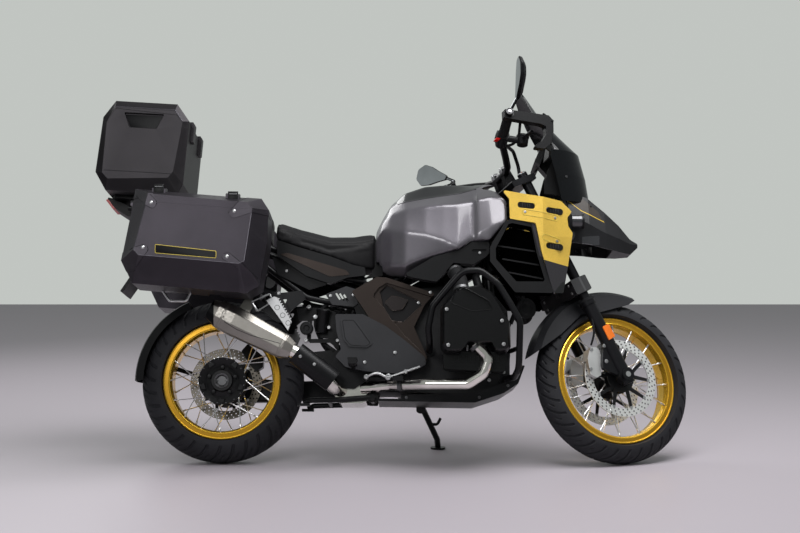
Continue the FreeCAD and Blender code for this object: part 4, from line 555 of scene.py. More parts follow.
# Places on the nodes' surfaces, found by lines along y

TREES = {}


def tree_of(names, matrix):
    key = (names, matrix is TURNED)
    if key not in TREES:
        verts, faces = [], []
        for name in names.split():
            base = len(verts)
            verts += local_points(name, matrix)
            faces += [tuple(base + i for i in p.vertices) for p in NODES[name].data.polygons]
        TREES[key] = BVHTree.FromPolygons(verts, faces)
    return TREES[key]


def touch(names, x, z, side=-1, matrix=PARK, lift=0.0):
    """Where a line at (x, z) from the given side meets the nodes, and the normal there."""
    at, normal = tree_of(names, matrix).ray_cast(Vector((x, side * 900.0, z)),
        Vector((0, -side, 0)))[:2]
    if at is None:
        return None, None
    if normal.y * side < 0:
        normal = -normal
    return at + normal * lift, normal


def screws(form, names, spots, radius, material="silver", matrix=PARK, sides=(-1, 1)):
    for side in sides:
        for x, z in spots:
            at, normal = touch(names, x, z, side, matrix)
            if at is not None:
                form.screw(at, normal, radius, material)


def patch(form, names, outline, thick, material, side, soft):
    """A thin plate laid on the surface, if every point of its outline meets it."""
    spots = [touch(names, x, z, side)[0] for x, z in outline]
    if all(s is not None for s in spots):
        form.plate(spots, (0, side * thick, 0), material, soft)


def rounded(outline, radius, steps=4):
    """An outline of (x, z) points with rounded corners."""
    out = []
    for i, p in enumerate(outline):
        p, before = Vector(p), Vector(outline[i - 1])
        after = Vector(outline[(i + 1) % len(outline)])
        a, b = (before - p), (after - p)
        r = min(radius, a.length * 0.45, b.length * 0.45)
        a, b = p + a.normalized() * r, p + b.normalized() * r
        for k in range(steps + 1):
            u = k / steps
            out.append(a * (1 - u) ** 2 + p * 2 * u * (1 - u) + b * u * u)
    return out


def capsule(a, b, radius):
    """Points round a long oval from a to b."""
    n = 10
    a, b = Vector(a), Vector(b)
    along = (b - a).normalized()
    up = Vector((-along.y, along.x))
    out = []
    for centre, start in ((b, -0.5), (a, 0.5)):
        for k in range(n + 1):
            turn = math.pi * (start + k / n)
            out.append(centre + (along * math.cos(turn) + up * math.sin(turn)) * radius)
    return out


def trace(form, names, outline, radius, material, side=-1, closed=True, lift=0.0):
    """A thin raised line along an outline, laid on the surface point by point, 12 mm apart."""
    points, count, step = [], len(outline), 12.0
    for i in range(count if closed else count - 1):
        p, q = Vector(outline[i]), Vector(outline[(i + 1) % count])
        pieces = max(1, int((q - p).length / step))
        points += [p + (q - p) * (k / pieces) for k in range(pieces)]
    if not closed:
        points.append(Vector(outline[-1]))
    spots = [touch(names, x, z, side, lift=lift)[0] for x, z in points]
    spots = [s for s in spots if s is not None]
    if len(spots) > 2:
        form.hose(spots, radius, material, 6, closed)


# Tyres with cut tread

def tread(name, body, matrix, size, blocks, replaced):
    """A tyre whose crown carries slanted grooves from both shoulders, staggered side to side."""
    radius, width, bead, rim_width = size
    crown, lip, half = width / 2, bead + 13.5, rim_width / 2
    centre = radius - crown
    wall_steps, arcs, per_block = 3, 26, 15
    outer = [(bead + 0.6, half - 8.5), (lip + 0.9, half - 5.0), (lip + 2.7, half - 0.7)]
    foot_r, foot_y = outer[-1]
    wall = []
    for k in range(wall_steps):
        u = (k + 1) / (wall_steps + 1)
        wall.append((foot_r + (centre - foot_r) * u, foot_y + (crown - foot_y) * u))
    top = []
    for k in range(arcs + 1):
        a = math.pi * (0.5 - k / arcs)
        top.append((centre + crown * math.cos(a), crown * math.sin(a)))
    profile = outer + wall + top + [(r, -y) for r, y in reversed(outer + wall)]
    edge = len(outer) + len(wall)
    around, n = blocks * per_block, len(profile)
    verts, faces = [], []
    for i in range(around):
        # a long groove at the start of each block, and a short one half way
        long_groove, short_groove = i % per_block in (0, 1, 2), i % per_block in (8, 9)
        for j, (r, y) in enumerate(profile):
            share = y / crown
            on_crown = 0 <= j - edge <= arcs
            bend = abs(share) ** 1.3 if on_crown else 1.0
            slant = 2 * math.pi / blocks * (1.05 * bend + (0.5 if share > 0 else 0.0))
            a = 2 * math.pi * i / around + slant
            if on_crown:
                depth = 0.0
                if long_groove and 0.12 < abs(share) < 0.95:
                    depth = 5.5
                elif short_groove and 0.5 < abs(share) < 0.74:
                    depth = 4.0
                bare = math.hypot(r - centre, y)
                r, y = centre + (r - centre) * (bare - depth) / bare, y * (bare - depth) / bare
            verts.append(matrix @ wheel_point(r, y, a))
    for i in range(around):
        a, b = i * n, ((i + 1) % around) * n
        for j in range(n - 1):
            faces.append((a + j, a + j + 1, b + j + 1, b + j))
        faces.append((a + n - 1, a, b, b + n - 1))
    obj = mesh_piece(name, verts, faces, ["tyre"], [], body, 30)
    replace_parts(obj, replaced)


tread("front_tread", "front_wheel", FRONT_WHEEL, FRONT_SIZE, 34, "front_tyre")
tread("rear_tread", "rear_wheel", REAR_WHEEL, REAR_SIZE, 32, "rear_tyre")


# Discs, nipples and hub bolts

def drilled_ring(form, inner, outer, y, thick, metal):
    """A disc's running ring with three staggered rows of round holes, their walls and countersinks
    painted black as painted shade.
    """
    rows, cells, hole = 3, 42, 2.7
    height = (outer - inner) / rows
    for row in range(rows):
        r0 = inner + row * height
        middle = r0 + height / 2
        for i in range(cells):
            a0 = 2 * math.pi * (i + row / rows) / cells
            a1 = a0 + 2 * math.pi / cells
            mid = (a0 + a1) / 2
            rim = []
            for u, v in ((0, 0), (0.5, 0), (1, 0), (1, 0.5), (1, 1), (0.5, 1), (0, 1), (0, 0.5)):
                a, r = a0 + (a1 - a0) * u, r0 + height * v
                rim.append((r * math.cos(a), r * math.sin(a)))
            cx, cz = middle * math.cos(mid), middle * math.sin(mid)
            holes = []
            for px, pz in rim:
                d = Vector((px - cx, pz - cz)).normalized() * hole
                holes.append((cx + d.x, cz + d.y))
            ring = [(cx + (px - cx) * 1.35, cz + (pz - cz) * 1.35) for px, pz in holes]
            bottom, top = y - thick / 2, y + thick / 2
            plain_part = ((ring, top), (rim, top), (rim, bottom), (ring, bottom))
            hole_shade_part = ((ring, bottom), (holes, bottom + 0.8), (holes, top - 0.8), (ring, top))
            for levels, kind in ((plain_part, metal), (hole_shade_part, "hub")):
                rings = [[(px, h, pz) for px, pz in outline] for outline, h in levels]
                form.rings(rings, kind, ends=(False, False))


def disc(form, radius, inner, hub_radius, y, metal="disc"):
    """A drilled ring on the arms of its carrier, with a button at each arm."""
    thick, arms = 5.0, 5
    drilled_ring(form, inner, radius, y, thick, metal)
    ring = [(hub_radius + dr, h) for dr, h in ((-4, -thick / 2), (15, -thick / 2), (15, thick / 2),
        (-4, thick / 2))]
    form.rings([[wheel_point(r, y + h, a) for r, h in ring] for a in angles(48)], "hub",
        closed=True)
    start, end = hub_radius + 8, inner + 3
    for i, a in enumerate(angles(2 * arms)):
        foot = a - (0.2 if i % 2 else -0.2)
        c0, c1 = wheel_point(start, 0, foot), wheel_point(end, 0, a)
        along = (c1 - c0).normalized()
        wide = Vector((-along.z, 0, along.x))
        quad = [c0 - wide * 8, c1 - wide * 5.5, c1 + wide * 5.5, c0 + wide * 8]
        form.plate([p + Vector((0, y - thick / 2 + 0.4, 0)) for p in quad], (0, thick - 0.8, 0),
            "hub", 0.8)
        form.lathe(wheel_point(inner, y, a), (0, 1, 0), [(-3.2, 4), (-3, 6), (3, 6), (3.2, 4)],
            "silver", 12)


front_discs = Form("drilled_front_discs", "front_wheel", FRONT_WHEEL, "disc")
for side in (-1, 1):
    disc(front_discs, radius=154.8, inner=122.2, hub_radius=42, y=side * 72.0)
    front_discs.lathe((0, side * 52.5, 0), (0, side, 0), [(0, 38), (17, 38), (18, 36), (18, 17.5),
        (0, 17.5)], "hub", 32)
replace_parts(front_discs.build(), "front_discs")
rear_disc = Form("drilled_rear_disc", "rear_wheel", REAR_WHEEL, "disc")
disc(rear_disc, radius=142.3, inner=108.2, hub_radius=62, y=88.0, metal="disc_worn")
rear_disc.lathe((0, 70.2, 0), (0, 1, 0), [(0, 61.8), (16, 61.8), (16, 50.4), (0, 50.4)], "hub", 32)
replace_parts(rear_disc.build(), "rear_disc")


def wheel_fittings(name, body, matrix, size, flange, flange_y):
    """Nipples where the crossed spokes meet the rim, their heads in the hub, the rim's ridges."""
    form = Form(name, body, matrix, "hub")
    bead, edge = size[2], size[3] / 2
    spokes, lead = 32, 26.0
    step = 360.0 / spokes
    for side in (-1, 1):
        for i in range(spokes // 2):
            at_rim = math.radians(i * 2 * step + (step if side > 0 else 0))
            at_hub = at_rim + math.radians(lead if i % 2 else -lead)
            hub_at = wheel_point(flange - 4, side * flange_y, at_hub)
            rim_at = wheel_point(bead - 14, side * (edge - 7), at_rim)
            along = (rim_at - hub_at).normalized()
            form.bar(rim_at - along * 20, rim_at + along * 1.5, 3.6, "spoke", 8)
            form.bar(hub_at + along * 2, hub_at + along * 13, 3.4, "spoke", 8)
        for r, thick in ((bead + 9.5, 4.2), (bead - 10.5, 3.6)):
            form.hose([wheel_point(r, side * (edge - 1.2), a) for a in angles(96)], thick, "gold",
                8, True)
    return form


fittings = wheel_fittings("front_wheel_fittings", "front_wheel", FRONT_WHEEL, FRONT_SIZE,
    *FRONT_FLANGE)
fittings.build()
fittings = wheel_fittings("rear_wheel_fittings", "rear_wheel", REAR_WHEEL, REAR_SIZE, *REAR_FLANGE)
for a in angles(5, 0.3):
    # a wheel bolt, and the rib between it and the next
    fittings.lathe(wheel_point(53, -46, a), (0, -1, 0), [(-6, 9), (6, 9), (8, 7.5), (8.3, 4)],
        "black_metal", 6)
    outward = wheel_point(1, 0, a + 0.63)
    round_it = Vector((-outward.z, 0, outward.x))
    at = outward * 78 - Vector((0, 47.5, 0))
    corners = [at + round_it * u + outward * w for u, w in ((-15, -9), (15, -9), (9, 9), (-9, 9))]
    fittings.plate(corners, (0, -5, 0), "black_metal", 2.0)
for a in angles(16, math.pi / 16):
    fittings.rivet(wheel_point(87, -51.6, a), (0, -1, 0), 2.6, "clamp")
fittings.lathe((0, -66, 0), (0, -1, 0), [(-8, 25.6), (0.5, 29), (3.5, 29), (4.5, 27), (1.5, 22),
    (-40, 21.5), (-40, 25.6)], "clamp", 40)
fittings.build()


def soft_line(points, per=7):
    """A smooth path through points, with so many steps between each two."""
    points, last, out = [Vector(p) for p in points], len(points) - 1, []
    for i in range(last):
        p0, p1, p2, p3 = points[max(i - 1, 0)], points[i], points[i + 1], points[min(i + 2, last)]
        for k in range(per):
            u = k / per
            out.append(0.5 * ((2 * p1) + (p2 - p0) * u + (2 * p0 - 5 * p1 + 4 * p2 - p3) * u * u
                + (3 * p1 - p0 - 3 * p2 + p3) * u ** 3))
    return out + [points[-1]]


# Bodywork and engine fittings on the chassis

# dark brackets behind the gearbox, and the hoses near the steering head and behind the gearbox
WEBS = [
    [(292, 599), (377, 600), (378, 549), (300, 548)],
    [(334, 552), (352, 553), (348, 474), (332, 474)],
    [(377, 600), (444, 585), (457, 475), (385, 482)],
    [(332, 478), (457, 479), (458, 436), (422, 463), (344, 462)],
    [(345, 426), (423, 434), (461, 436), (455, 345), (352, 412)],
]
HOSES = [
    (7, [(1150, 60, 690), (1176, 96, 660), (1150, 118, 600), (1126, 110, 540)]),
    (9, [(440, 96, 640), (392, 104, 596), (366, 96, 540), (392, 88, 470), (440, 100, 430)]),
    (6, [(470, 86, 600), (420, 90, 540), (430, 86, 480), (470, 92, 440)]),
]

body = Form("body_fittings", "chassis")
screws(body, "side_panels", [(1172, 954), (1288, 932), (1294, 841)], 5.5)
screws(body, "frame_arms", [(811, 653), (766, 616)], 6.5)
screws(body, "side_covers", [(676, 418), (560, 380)], 7.0)
screws(body, "side_covers", [(424, 642), (512, 646)], 6.5)
screws(body, "side_covers", [(1000, 800)], 5.5)
screws(body, "engine_block", [(600, 360), (700, 330), (860, 310), (1040, 320), (1096, 350),
    (1060, 640), (760, 640)], 7.0)
screws(body, "skid_plate", [(720, 248), (1000, 250), (1110, 296)], 6.0, "clamp")
screws(body, "swing_arm", [(20, 318), (-20, 318)], 6.0, "clamp")
screws(body, "nose", [(1400, 1040), (1340, 985), (1445, 1010)], 4.5, "black")
screws(body, "windscreen", [(1300, 1230), (1345, 1120)], 5.0, "clamp")

for side in (-1, 1):
    for a, b in (((1172, 953), (1290, 932)), ((1248, 854), (1297, 841))):
        trace(body, "side_panels", capsule(a, b, 11), 1.3, "yellow_line", side, lift=0.3)
    # a pale metal line along the tank's crease: a painted highlight
    trace(body, "fuel_tank", [(991, 1046), (988, 986), (978, 920), (975, 855), (925, 812)], 1.0,
        "clamp", side, False)
    trace(body, "fuel_tank", [(682, 1013), (810, 1034), (928, 1051), (990, 1070)], 1.2, "black",
        side, False)
    trace(body, "side_covers", rounded([(472, 542), (516, 542), (582, 452), (562, 442), (504, 446),
        (484, 470)], 8), 1.1, "black", side)
    for x, z in ((1177, 980), (1286, 960), (1284, 820)):
        at, normal = touch("side_panels", x, z + 20, side)
        if at is None:
            continue
        a, b = Vector((x - 21, z + 2.2)), Vector((x + 21, z - 2.2))
        body.flat(capsule(a, b, 12.6), at.y - side * 8.5, side * 7.5, "black", 1.4)
        for k in (-14, -5, 5, 14):
            foot = Vector((x + k, at.y - side * 1.0, z - k * 0.105))
            body.bar(foot - Vector((0, 0, 8)), foot + Vector((0, 0, 8)), 1.8, "grey", 8)
    strip = [(224, 806), (252, 812), (483, 744), (499, 726), (421, 718)]
    patch(body, "side_covers", rounded(strip, 8), 1.6, "frame", side, 0.8)
    # pale lines round the arm's recess, along its band and round its box: painted highlights on the
    # edges
    trace(body, "frame_arms", rounded(ARM_RECESS, 6), 1.2, "frame_edge_highlight", side)
    trace(body, "frame_arms", [(816, 634), (642, 689), (613, 672), (590, 641), (638, 583),
        (709, 488), (794, 408)], 1.2, "frame_edge_highlight", side, False)
    trace(body, "frame_arms", rounded(ARM_BOX, 8), 1.0, "frame_edge_highlight", side)
    infill = [(192, 800), (389, 716), (413, 691), (340, 668), (214, 728)]
    body.flat(rounded(infill, 10), side * 118, side * 5, "black")
    body.screw((250, side * 123, 742), (0, side, 0), 6.0)
    gap = [(574, 872), (613, 872), (626, 733), (544, 717), (583, 741)]
    body.flat(gap, side * 70, side * 4, "black", 0.8)
for web in WEBS:
    body.flat(web, -102, -4, "black", 0.8)

# valve covers: bolts round the edge, ribs, the plug's lid and the intake hose
heads = Form("cylinder_fittings", "chassis", PARK, "engine")
screws(heads, "cylinders", [(868, 560), (1074, 518), (1080, 430), (874, 426)], 7.5)
for side in (-1, 1):
    for k in range(12):
        x = 900 + k * 15
        rib = [(x, 398), (x + 4, 398), (x + 4, 372), (x, 372)]
        heads.flat(rib, side * 214, side * 86, "cover", 0.4)
for side in (-1, 1):
    trace(heads, "cylinders", rounded([(880, 586), (902, 632), (936, 642), (1026, 594), (1040, 560),
        (962, 553)], 10), 1.5, "cover", side)
    intake = soft_line(mirrored(side, ((930, 262, 640), (922, 236, 690), (900, 196, 742),
        (880, 160, 780))))
    heads.hose(intake, 29, "rubber", 24)
    for k in (2, 12):
        here = intake[k]
        heads.lathe(here, intake[k + 1] - here, [(-6, 29.5), (-5, 31.5), (5, 31.5), (6, 29.5)],
            "clamp", 28)
    heads.bar((1000, side * 250, 640), (985, side * 180, 716), 16, "black", 20)
heads.build()

# exhaust: bands, a seam and a mouth on the silencer, screws, and clamps on the pipes
pipes = Form("exhaust_fittings", "chassis", PARK, "steel")
RISE = math.radians(26.5)
MOUTH = Vector((284, -226, 418))
BACK = Vector((-math.cos(RISE), 0, math.sin(RISE)))
UP = Vector((math.sin(RISE), 0, math.cos(RISE)))
for along, width, height in ((36, 50.6, 46.6), (286, 51.5, 53.5)):
    outline = rounded([(-width * 0.7, -height), (width * 0.7, -height), (width, -height * 0.35),
        (width, height * 0.45), (width * 0.55, height), (-width * 0.55, height),
        (-width, height * 0.45), (-width, -height * 0.35)], 12, 5)
    rows = []
    for step, grow in ((0, 0.0), (1.5, 1.6), (9, 1.6), (10.5, 0.0)):
        rows.append([MOUTH + BACK * (along + step) + Vector((0, 1, 0)) * p.x * (1 + grow / width)
            + UP * p.y * (1 + grow / height) for p in outline])
    pipes.rings(rows, "titan", ends=(False, False))
trace(pipes, "silencer", [(22, 560), (30, 520), (74, 493), (130, 470), (252, 437)], 1.1, "black",
    -1, False)
end_at = MOUTH + BACK * 352
pipes.lathe(end_at - BACK * 6, BACK, [(0, 25.5), (5, 27), (6, 24.8), (-20, 24.6), (-20, 25.4)],
    "black", 32)
screws(pipes, "exhaust", [(371, 363), (318, 392)], 6.5, sides=(-1,))
screws(pipes, "rear_frame", [(118, 600), (84, 566), (134, 640), (228, 640)], 7.5)
for side in (-1, 1):
    for at, axis in (((978, side * 318, 425), (0.55, 0, -0.7)),
            ((700, side * 190, 292), (-0.86, side * -0.5, 0))):
        pipes.lathe(at, axis, [(-7, 20.4), (-6.5, 23.5), (6.5, 23.5), (7, 20.4)], "clamp", 24)
    for dx in (-30, 34):
        at = Vector((978 + dx, side * 300, 436))
        pipes.bar(at + Vector((0, 0, 6)), at - Vector((0, 0, 22)), 5, "silver", 10)

# the passenger's silver peg and its bracket, the brake pedal, a horn, and hoses behind the engine
for side in (-1, 1):
    peg = [Vector((x, side * 254, z)) for x, z in ((184, 607), (214, 622), (226, 618), (284, 524),
        (270, 489), (236, 538))]
    pipes.plate(peg, (0, side * 8, 0), "silver", 1.5)
    along = (peg[3] - peg[2]).normalized()
    out = Vector((along.z, 0, -along.x))
    for k in range(9):
        foot = peg[2] + along * (8 + k * 11)
        tooth = [foot - along * 4, foot + along * 4, foot + along * 1.5 - out * 6,
            foot - along * 1.5 - out * 6]
        pipes.plate(tooth, (0, side * 8, 0), "silver", 0.6)
    for k in (0.3, 0.55, 0.8):
        hole = peg[0] + (peg[4] - peg[0]) * k + Vector((17, side * 8.2, 7))
        pipes.lathe(hole, (0, side, 0), [(-0.6, 10), (0.3, 10), (0.3, 8.5), (-0.3, 8.2)], "black",
            20)
    loop = mirrored(side, ((123, 206, 607), (192, 206, 639), (206, 206, 610), (147, 206, 572)))
    for a, b in ((0, 1), (1, 2), (2, 3), (0, 3)):
        pipes.bar(loop[a], loop[b], 5.0, "silver", 8)
    lug = rounded([(148, 768), (176, 766), (182, 736), (164, 718), (142, 724)], 8)
    pipes.flat(lug, side * 176, side * 6, "silver", 1.2)
    pipes.lathe((162, side * 182, 744), (0, side, 0),
        [(-0.6, 8), (0.4, 8), (0.4, 6.5), (-0.2, 6.2)], "black", 20)
    pipes.screw((366, side * 138, 560), (0, side, 0), 9.0)

pedal = soft_line([(566, -196, 322), (606, -204, 336), (650, -206, 322), (714, -206, 342),
    (771, -200, 362)])
pipes.hose(pedal, 5.0, "silver", 10)
for x, z, r in ((650, 322, 12), (716, 343, 8), (566, 322, 9)):
    pipes.lathe((x, -196, z), (0, -1, 0), [(-40, r * 0.8), (-40, r), (13, r), (15, r * 0.8),
        (15, r * 0.5), (11, r * 0.4)], "silver", 20)
for side in (-1, 1):
    pipes.lathe((1188, side * 84, 604), (0.35, side * 0.94, 0),
        [(-16, 12), (-14, 30), (0, 40), (5, 41), (8, 36), (8, 26), (5, 20), (9, 8)], "black", 32)
    pipes.bar((1188, side * 40, 604), (1188, side * 76, 604), 9, "black", 12)
    for radius, route in HOSES:
        pipes.hose(soft_line(mirrored(side, route)), radius, "rubber", 12)
pipes.lathe((392, -118, 548), (0.1, -0.2, 1), [(-46, 20), (-44, 25), (30, 25), (34, 27), (42, 27),
    (46, 22)], "black_metal", 28)
pipes.lathe((332, -112, 516), (0, -1, 0), [(0, 26), (24, 26), (28, 22), (28, 12), (24, 9)],
    "black_metal", 28)
for x, z, r in ((340, 600, 8), (418, 520, 7), (330, 470, 8), (452, 470, 7)):
    pipes.lathe((x, -118, z), (0, -1, 0), [(-30, r), (14, r), (16, r * 0.8), (16, r * 0.5),
        (12, r * 0.45)], "silver", 16)
pipes.build()

body.build()


# Cases

# the lid's and the case's corner plates, as open outlines on the side view
CORNERS = [
    rounded([(-300, 985), (-262, 1000), (-204, 938), (-220, 914), (-240, 922), (-290, 968)],
        14)[5:],
    rounded([(58, 896), (70, 916), (120, 972), (60, 972)], 8)[:12],
    rounded([(-318, 760), (-242, 782), (-232, 760), (-290, 690)], 12)[4:16],
    rounded([(96, 696), (37, 730), (43, 746), (62, 752), (112, 712), (180, 652)], 6)[4:],
]
for side, word in ((-1, "right"), (1, "left")):
    lid = "pannier_lid_" + word
    names = "panniers " + lid
    base = Form("pannier_fittings_" + word, "chassis", PARK, "case")
    top = Form("pannier_lid_fittings_" + word, lid, PARK, "case")
    for spots, form in ((((-254, 769), (56, 736)), base), (((-229, 937), (79, 906)), top)):
        for x, z in spots:
            at, normal = touch(names, x, z, side)
            if at is not None:
                form.rivet(at, normal, 7.0)
    for corner, form in zip(CORNERS, (top, top, base, base)):
        trace(form, names, corner, 0.9, "black", side, False, lift=0.3)
    # a pale line along the case's edges: a painted highlight
    trace(base, "panniers", [(-249, 930), (-288, 762), (-268, 741), (100, 711), (120, 720),
        (134, 830), (143, 900)], 1.3, "case_edge_highlight", side, False)
    strip = [(-209, 780), (16, 756), (16, 730), (-208, 748)]
    patch(base, "panniers", rounded(strip, 3), 0.8, "black", side, 0.6)
    trace(base, "panniers", rounded(strip, 4), 1.2, "yellow_line", side, lift=0.4)
    for x0, z0 in ((-209, 997), (69, 970)):
        at, normal = touch(names, x0, z0, side)
        if at is not None:
            u, w = Vector((1, 0, 0)), normal.cross(Vector((1, 0, 0))).normalized()
            corners = [at + u * dx + w * dz for dx, dz in ((-19, -20), (19, -20), (19, 20),
                (-19, 20))]
            top.plate(corners, normal * 3.0, "black", 3.0)
            top.bar(at + normal * 3 - u * 15 + w * 9, at + normal * 3 + u * 15 + w * 9, 3.2,
                "clamp")
    base.build()
    top.build()

case = Form("top_case_fittings", "chassis", PARK, "case")
cover = Form("top_case_lid_fittings", "top_case_lid", PARK, "case")
for side in (-1, 1):
    hollow = rounded([(-386, 1348), (-236, 1341), (-263, 1292), (-366, 1297)], 5)
    patch(case, "top_case", hollow, 1.2, "black", side, 1.0)
    trace(case, "top_case", [(-462, 1122), (-200, 1108)], 1.0, "black", side, False)
    # a pale line along the lid's edge: a painted highlight
    trace(cover, "top_case_lid", [(-423, 1377), (-191, 1364), (-161, 1320)], 1.3, "case_edge_highlight", side,
        False)
    trace(cover, "top_case_lid", [(-424, 1370), (-192, 1357), (-172, 1330)], 0.9, "black", side,
        False)
case.build()
cover.build()

# blank plate on its holder
tail = Form("tail_fittings", "chassis")
low, high = Vector((-399, 0, 662)), Vector((-357, 0, 727))
out_of = Vector((-(high.z - low.z), 0, high.x - low.x)).normalized()
face = []
for p in rounded([(-88, 2), (88, 2), (88, 66), (-88, 66)], 6):
    face.append(low + (high - low).normalized() * p.y + Vector((0, p.x, 0)) + out_of * 5.5)
tail.plate(face, out_of * 1.4, "plate", 0.6)
for y in (-60, 60):
    tail.screw(low + (high - low) * 0.5 + Vector((0, y, 0)) + out_of * 6.8, out_of, 4.5)
tail.build()


# Steering: grips, switches, clamps, calipers and their hoses

front = Form("steering_fittings", "steering_assembly", TURNED)
for side in (-1, 1):
    # the grip's outer and inner end
    end, inner = mirrored(side, ((943, 430, 1217), (985, 262, 1186)))
    along = (end - inner).normalized()
    for k in range(19):
        at = end - along * (6 + k * 6.6)
        front.lathe(at, along, [(-1.7, 18.0), (-1.2, 19.0), (1.2, 19.0), (1.7, 18.0)], "rubber", 24)
    front.lathe(end - along * 132, along, [(-3, 19), (-2, 22.5), (2, 22.5), (3, 19)], "rubber", 24)
    box = end - along * 160
    side_dir = Vector((-0.9, 0, 0.43)).normalized()
    across = along.cross(side_dir).normalized()
    for shift in (14, 0, -14):
        at = box + along * shift + side_dir * 24.5
        corners = [at + along * a + across * c for a, c in ((-5, -8), (5, -8), (5, 8), (-5, 8))]
        front.plate(corners, side_dir * 4, "grey", 1.2)
    lever_at = inner + (end - inner) * 0.12
    front.lathe(lever_at, along, [(-9, 19), (-8, 23), (8, 23), (9, 19)], "black", 20)
    front.lathe(end + along * 4, along, [(0, 12), (5, 14), (12, 14), (14, 11)], "black_metal", 24)
    front.lathe(end + along * 17.6, along, [(-1, 14.5), (2.6, 14.5), (3.4, 12.5), (1.2, 9.5),
        (1.2, 4)], "clamp", 28)
    front.screw(end + along * 19, along, 6.5)
    for z in (1126, 1210):
        at, normal = touch("handguards", 1120, z, side, TURNED)
        if at is not None:
            front.screw(at, normal, 5.0, "black")
for side in (-1, 1):
    cup = Vector((1048, side * 318, 1168))
    front.lathe(cup, (0.12, 0, 1), [(-20, 17), (-18, 21), (12, 23), (14, 25), (21, 25), (23, 22)],
        "black", 28)
    front.bar((992, side * 290, 1184), cup, 13, "black_metal", 20)
    front.bar((1040, side * 318, 1170), (1052, side * 396, 1176), 7, "black_metal", 12)
kill = Vector((955, -290, 1176))
front.plate([kill + Vector((dx, dy, 0)) for dx, dy in ((-9, -12), (9, -12), (9, 12), (-9, 12))],
    (-5, 0, -8), "red", 1.5)
for side in (-1, 1):
    front.bar((1094, side * 38 - 13, 1162), (1094, side * 38 + 13, 1162), 17.5, "silver", 24)
    for dx in (-18, 14):
        front.screw((1096 + dx, side * 38, 1166), (0, 0, 1), 5.5)
# each leg's seal and its clamps in both bridges: a place along the leg, a profile and a material
SLEEVES = [
    (328, [(-4, 30.5), (-3, 32.5), (4, 32.5), (8, 26), (9, 20.2)], "rubber"),
    (BRIDGE, [(-30, 20), (-30, 30.5), (30, 30.5), (30, 20)], "clamp"),
    (862, [(-14, 20), (-14, 26), (14, 26), (14, 20)], "clamp"),
]
# leg caps, pinch bolts and the spindle's ends
for side in (-1, 1):
    leg = FRONT_AXLE + Vector((0, side * LEG, 0))
    cap = leg + UP_FORK * 899
    front.lathe(leg + UP_FORK * 890, UP_FORK, [(0, 19), (5, 19), (8, 15), (9, 8)], "silver", 24)
    front.bar(cap - Vector((0, 6, 0)), cap + Vector((0, 6, 0)), 2.5, "orange", 8)
    for up, profile, kind in SLEEVES:
        front.lathe(leg + UP_FORK * up, UP_FORK, profile, kind, 28)
    for up in (BRIDGE - 16, BRIDGE + 16):
        front.screw(leg + UP_FORK * up - AHEAD * 44, -AHEAD, 5.5)
    front.lathe(FRONT_AXLE + Vector((0, side * 137.6, 0)), (0, side, 0),
        [(-4, 23), (0, 23), (0.3, 20), (0.3, 12)], "silver", 32)
screws(front, "front_calipers", [(1400, 425), (1392, 345)], 8.0, matrix=TURNED)
screws(front, "fork", [(1447, 437), (1452, 375)], 8.0, matrix=TURNED)
screws(front, "front_mudguard", [(1430, 480), (1500, 560)], 6.0, matrix=TURNED)
for side in (-1, 1):
    reflector = rounded([(1436, 508), (1464, 524), (1490, 474), (1461, 455)], 5)
    front.flat(reflector, side * 132.5, side * 5, "orange", 1.4)
    route = ((1400, 100, 440), (1408, 118, 500), (1392, 112, 600), (1368, 78, 680), (1350, 66, 720))
    front.hose(soft_line(mirrored(side, route), 6), 4.0, "rubber", 10)
front.build()

# the display's glass, and the reflectors behind the lamp's glass
dash = Form("display_fittings", "chassis")
tip = math.radians(24)
facing = Vector((-math.cos(tip), 0, math.sin(tip)))
rise = Vector((math.sin(tip), 0, math.cos(tip)))
corner = Vector((1224, 0, 1190)) + facing * 0.4
screen_outline = rounded([(-88, 16), (88, 16), (88, 104), (-88, 104)], 8)
dash.plate([corner + Vector((0, p.x, 0)) + rise * p.y for p in screen_outline], facing * 1.6,
    "display", 1.2)
lamp = Vector((1519.4, 0, 944))
for y in (-30, 30):
    at = lamp + Vector((0, y, 0))
    dash.lathe(at, (1, 0, 0), [(-0.4, 22), (1.2, 22), (1.2, 19), (0.2, 18)], "silver", 32)
    dash.lathe(at, (1, 0, 0), [(-0.4, 17), (0.8, 17), (2.6, 10), (3.2, 3)], "lamp_dark", 32)
for side in (-1, 1):
    fog = Vector((1406.2, side * 185, 933))
    dash.lathe(fog, (1, 0, 0), [(-1, 23), (0.2, 23), (2.2, 15), (3, 4)], "lamp", 32)
    dash.lathe(fog, (1, 0, 0), [(-8, 27.2), (-8, 28.6), (0.4, 28.6), (1.2, 26), (0.2, 23.2)],
        "black", 32)
cowl = [(1262, 1060), (1262, 1100), (1277, 1158), (1299, 1204), (1309, 1150), (1330, 1052)]
for side in (-1, 1):
    dash.flat(cowl, side * 98, side * 4, "black", 1.4)
dash.build()


# Seats, and the tank with its facets softened

VOXEL = 0.006
# how far a cushion may swell (metres), its seam's depth, the bead above it and the pull below it
CROWN, SEWN, BEAD, PULL = 0.006, 1.7, 1.2, 1.8
SHRINK, FRAMES = 0.985, 20
# how far below its seam a cushion is held
HELD = 34


def remeshed(name, mesh, factor, rounds):
    """An object with even faces, smoothed. It stays chosen for what is done to it next."""
    obj = new_object(name, mesh)
    bpy.context.view_layer.objects.active = obj
    obj.select_set(True)
    obj.modifiers.new("weld", "WELD").merge_threshold = 0.0001
    remesh = obj.modifiers.new("remesh", "REMESH")
    remesh.mode, remesh.voxel_size = "VOXEL", VOXEL
    smooth = obj.modifiers.new("smooth", "SMOOTH")
    smooth.factor, smooth.iterations = factor, rounds
    for modifier in list(obj.modifiers):
        bpy.ops.object.modifier_apply(modifier=modifier.name)
    return obj


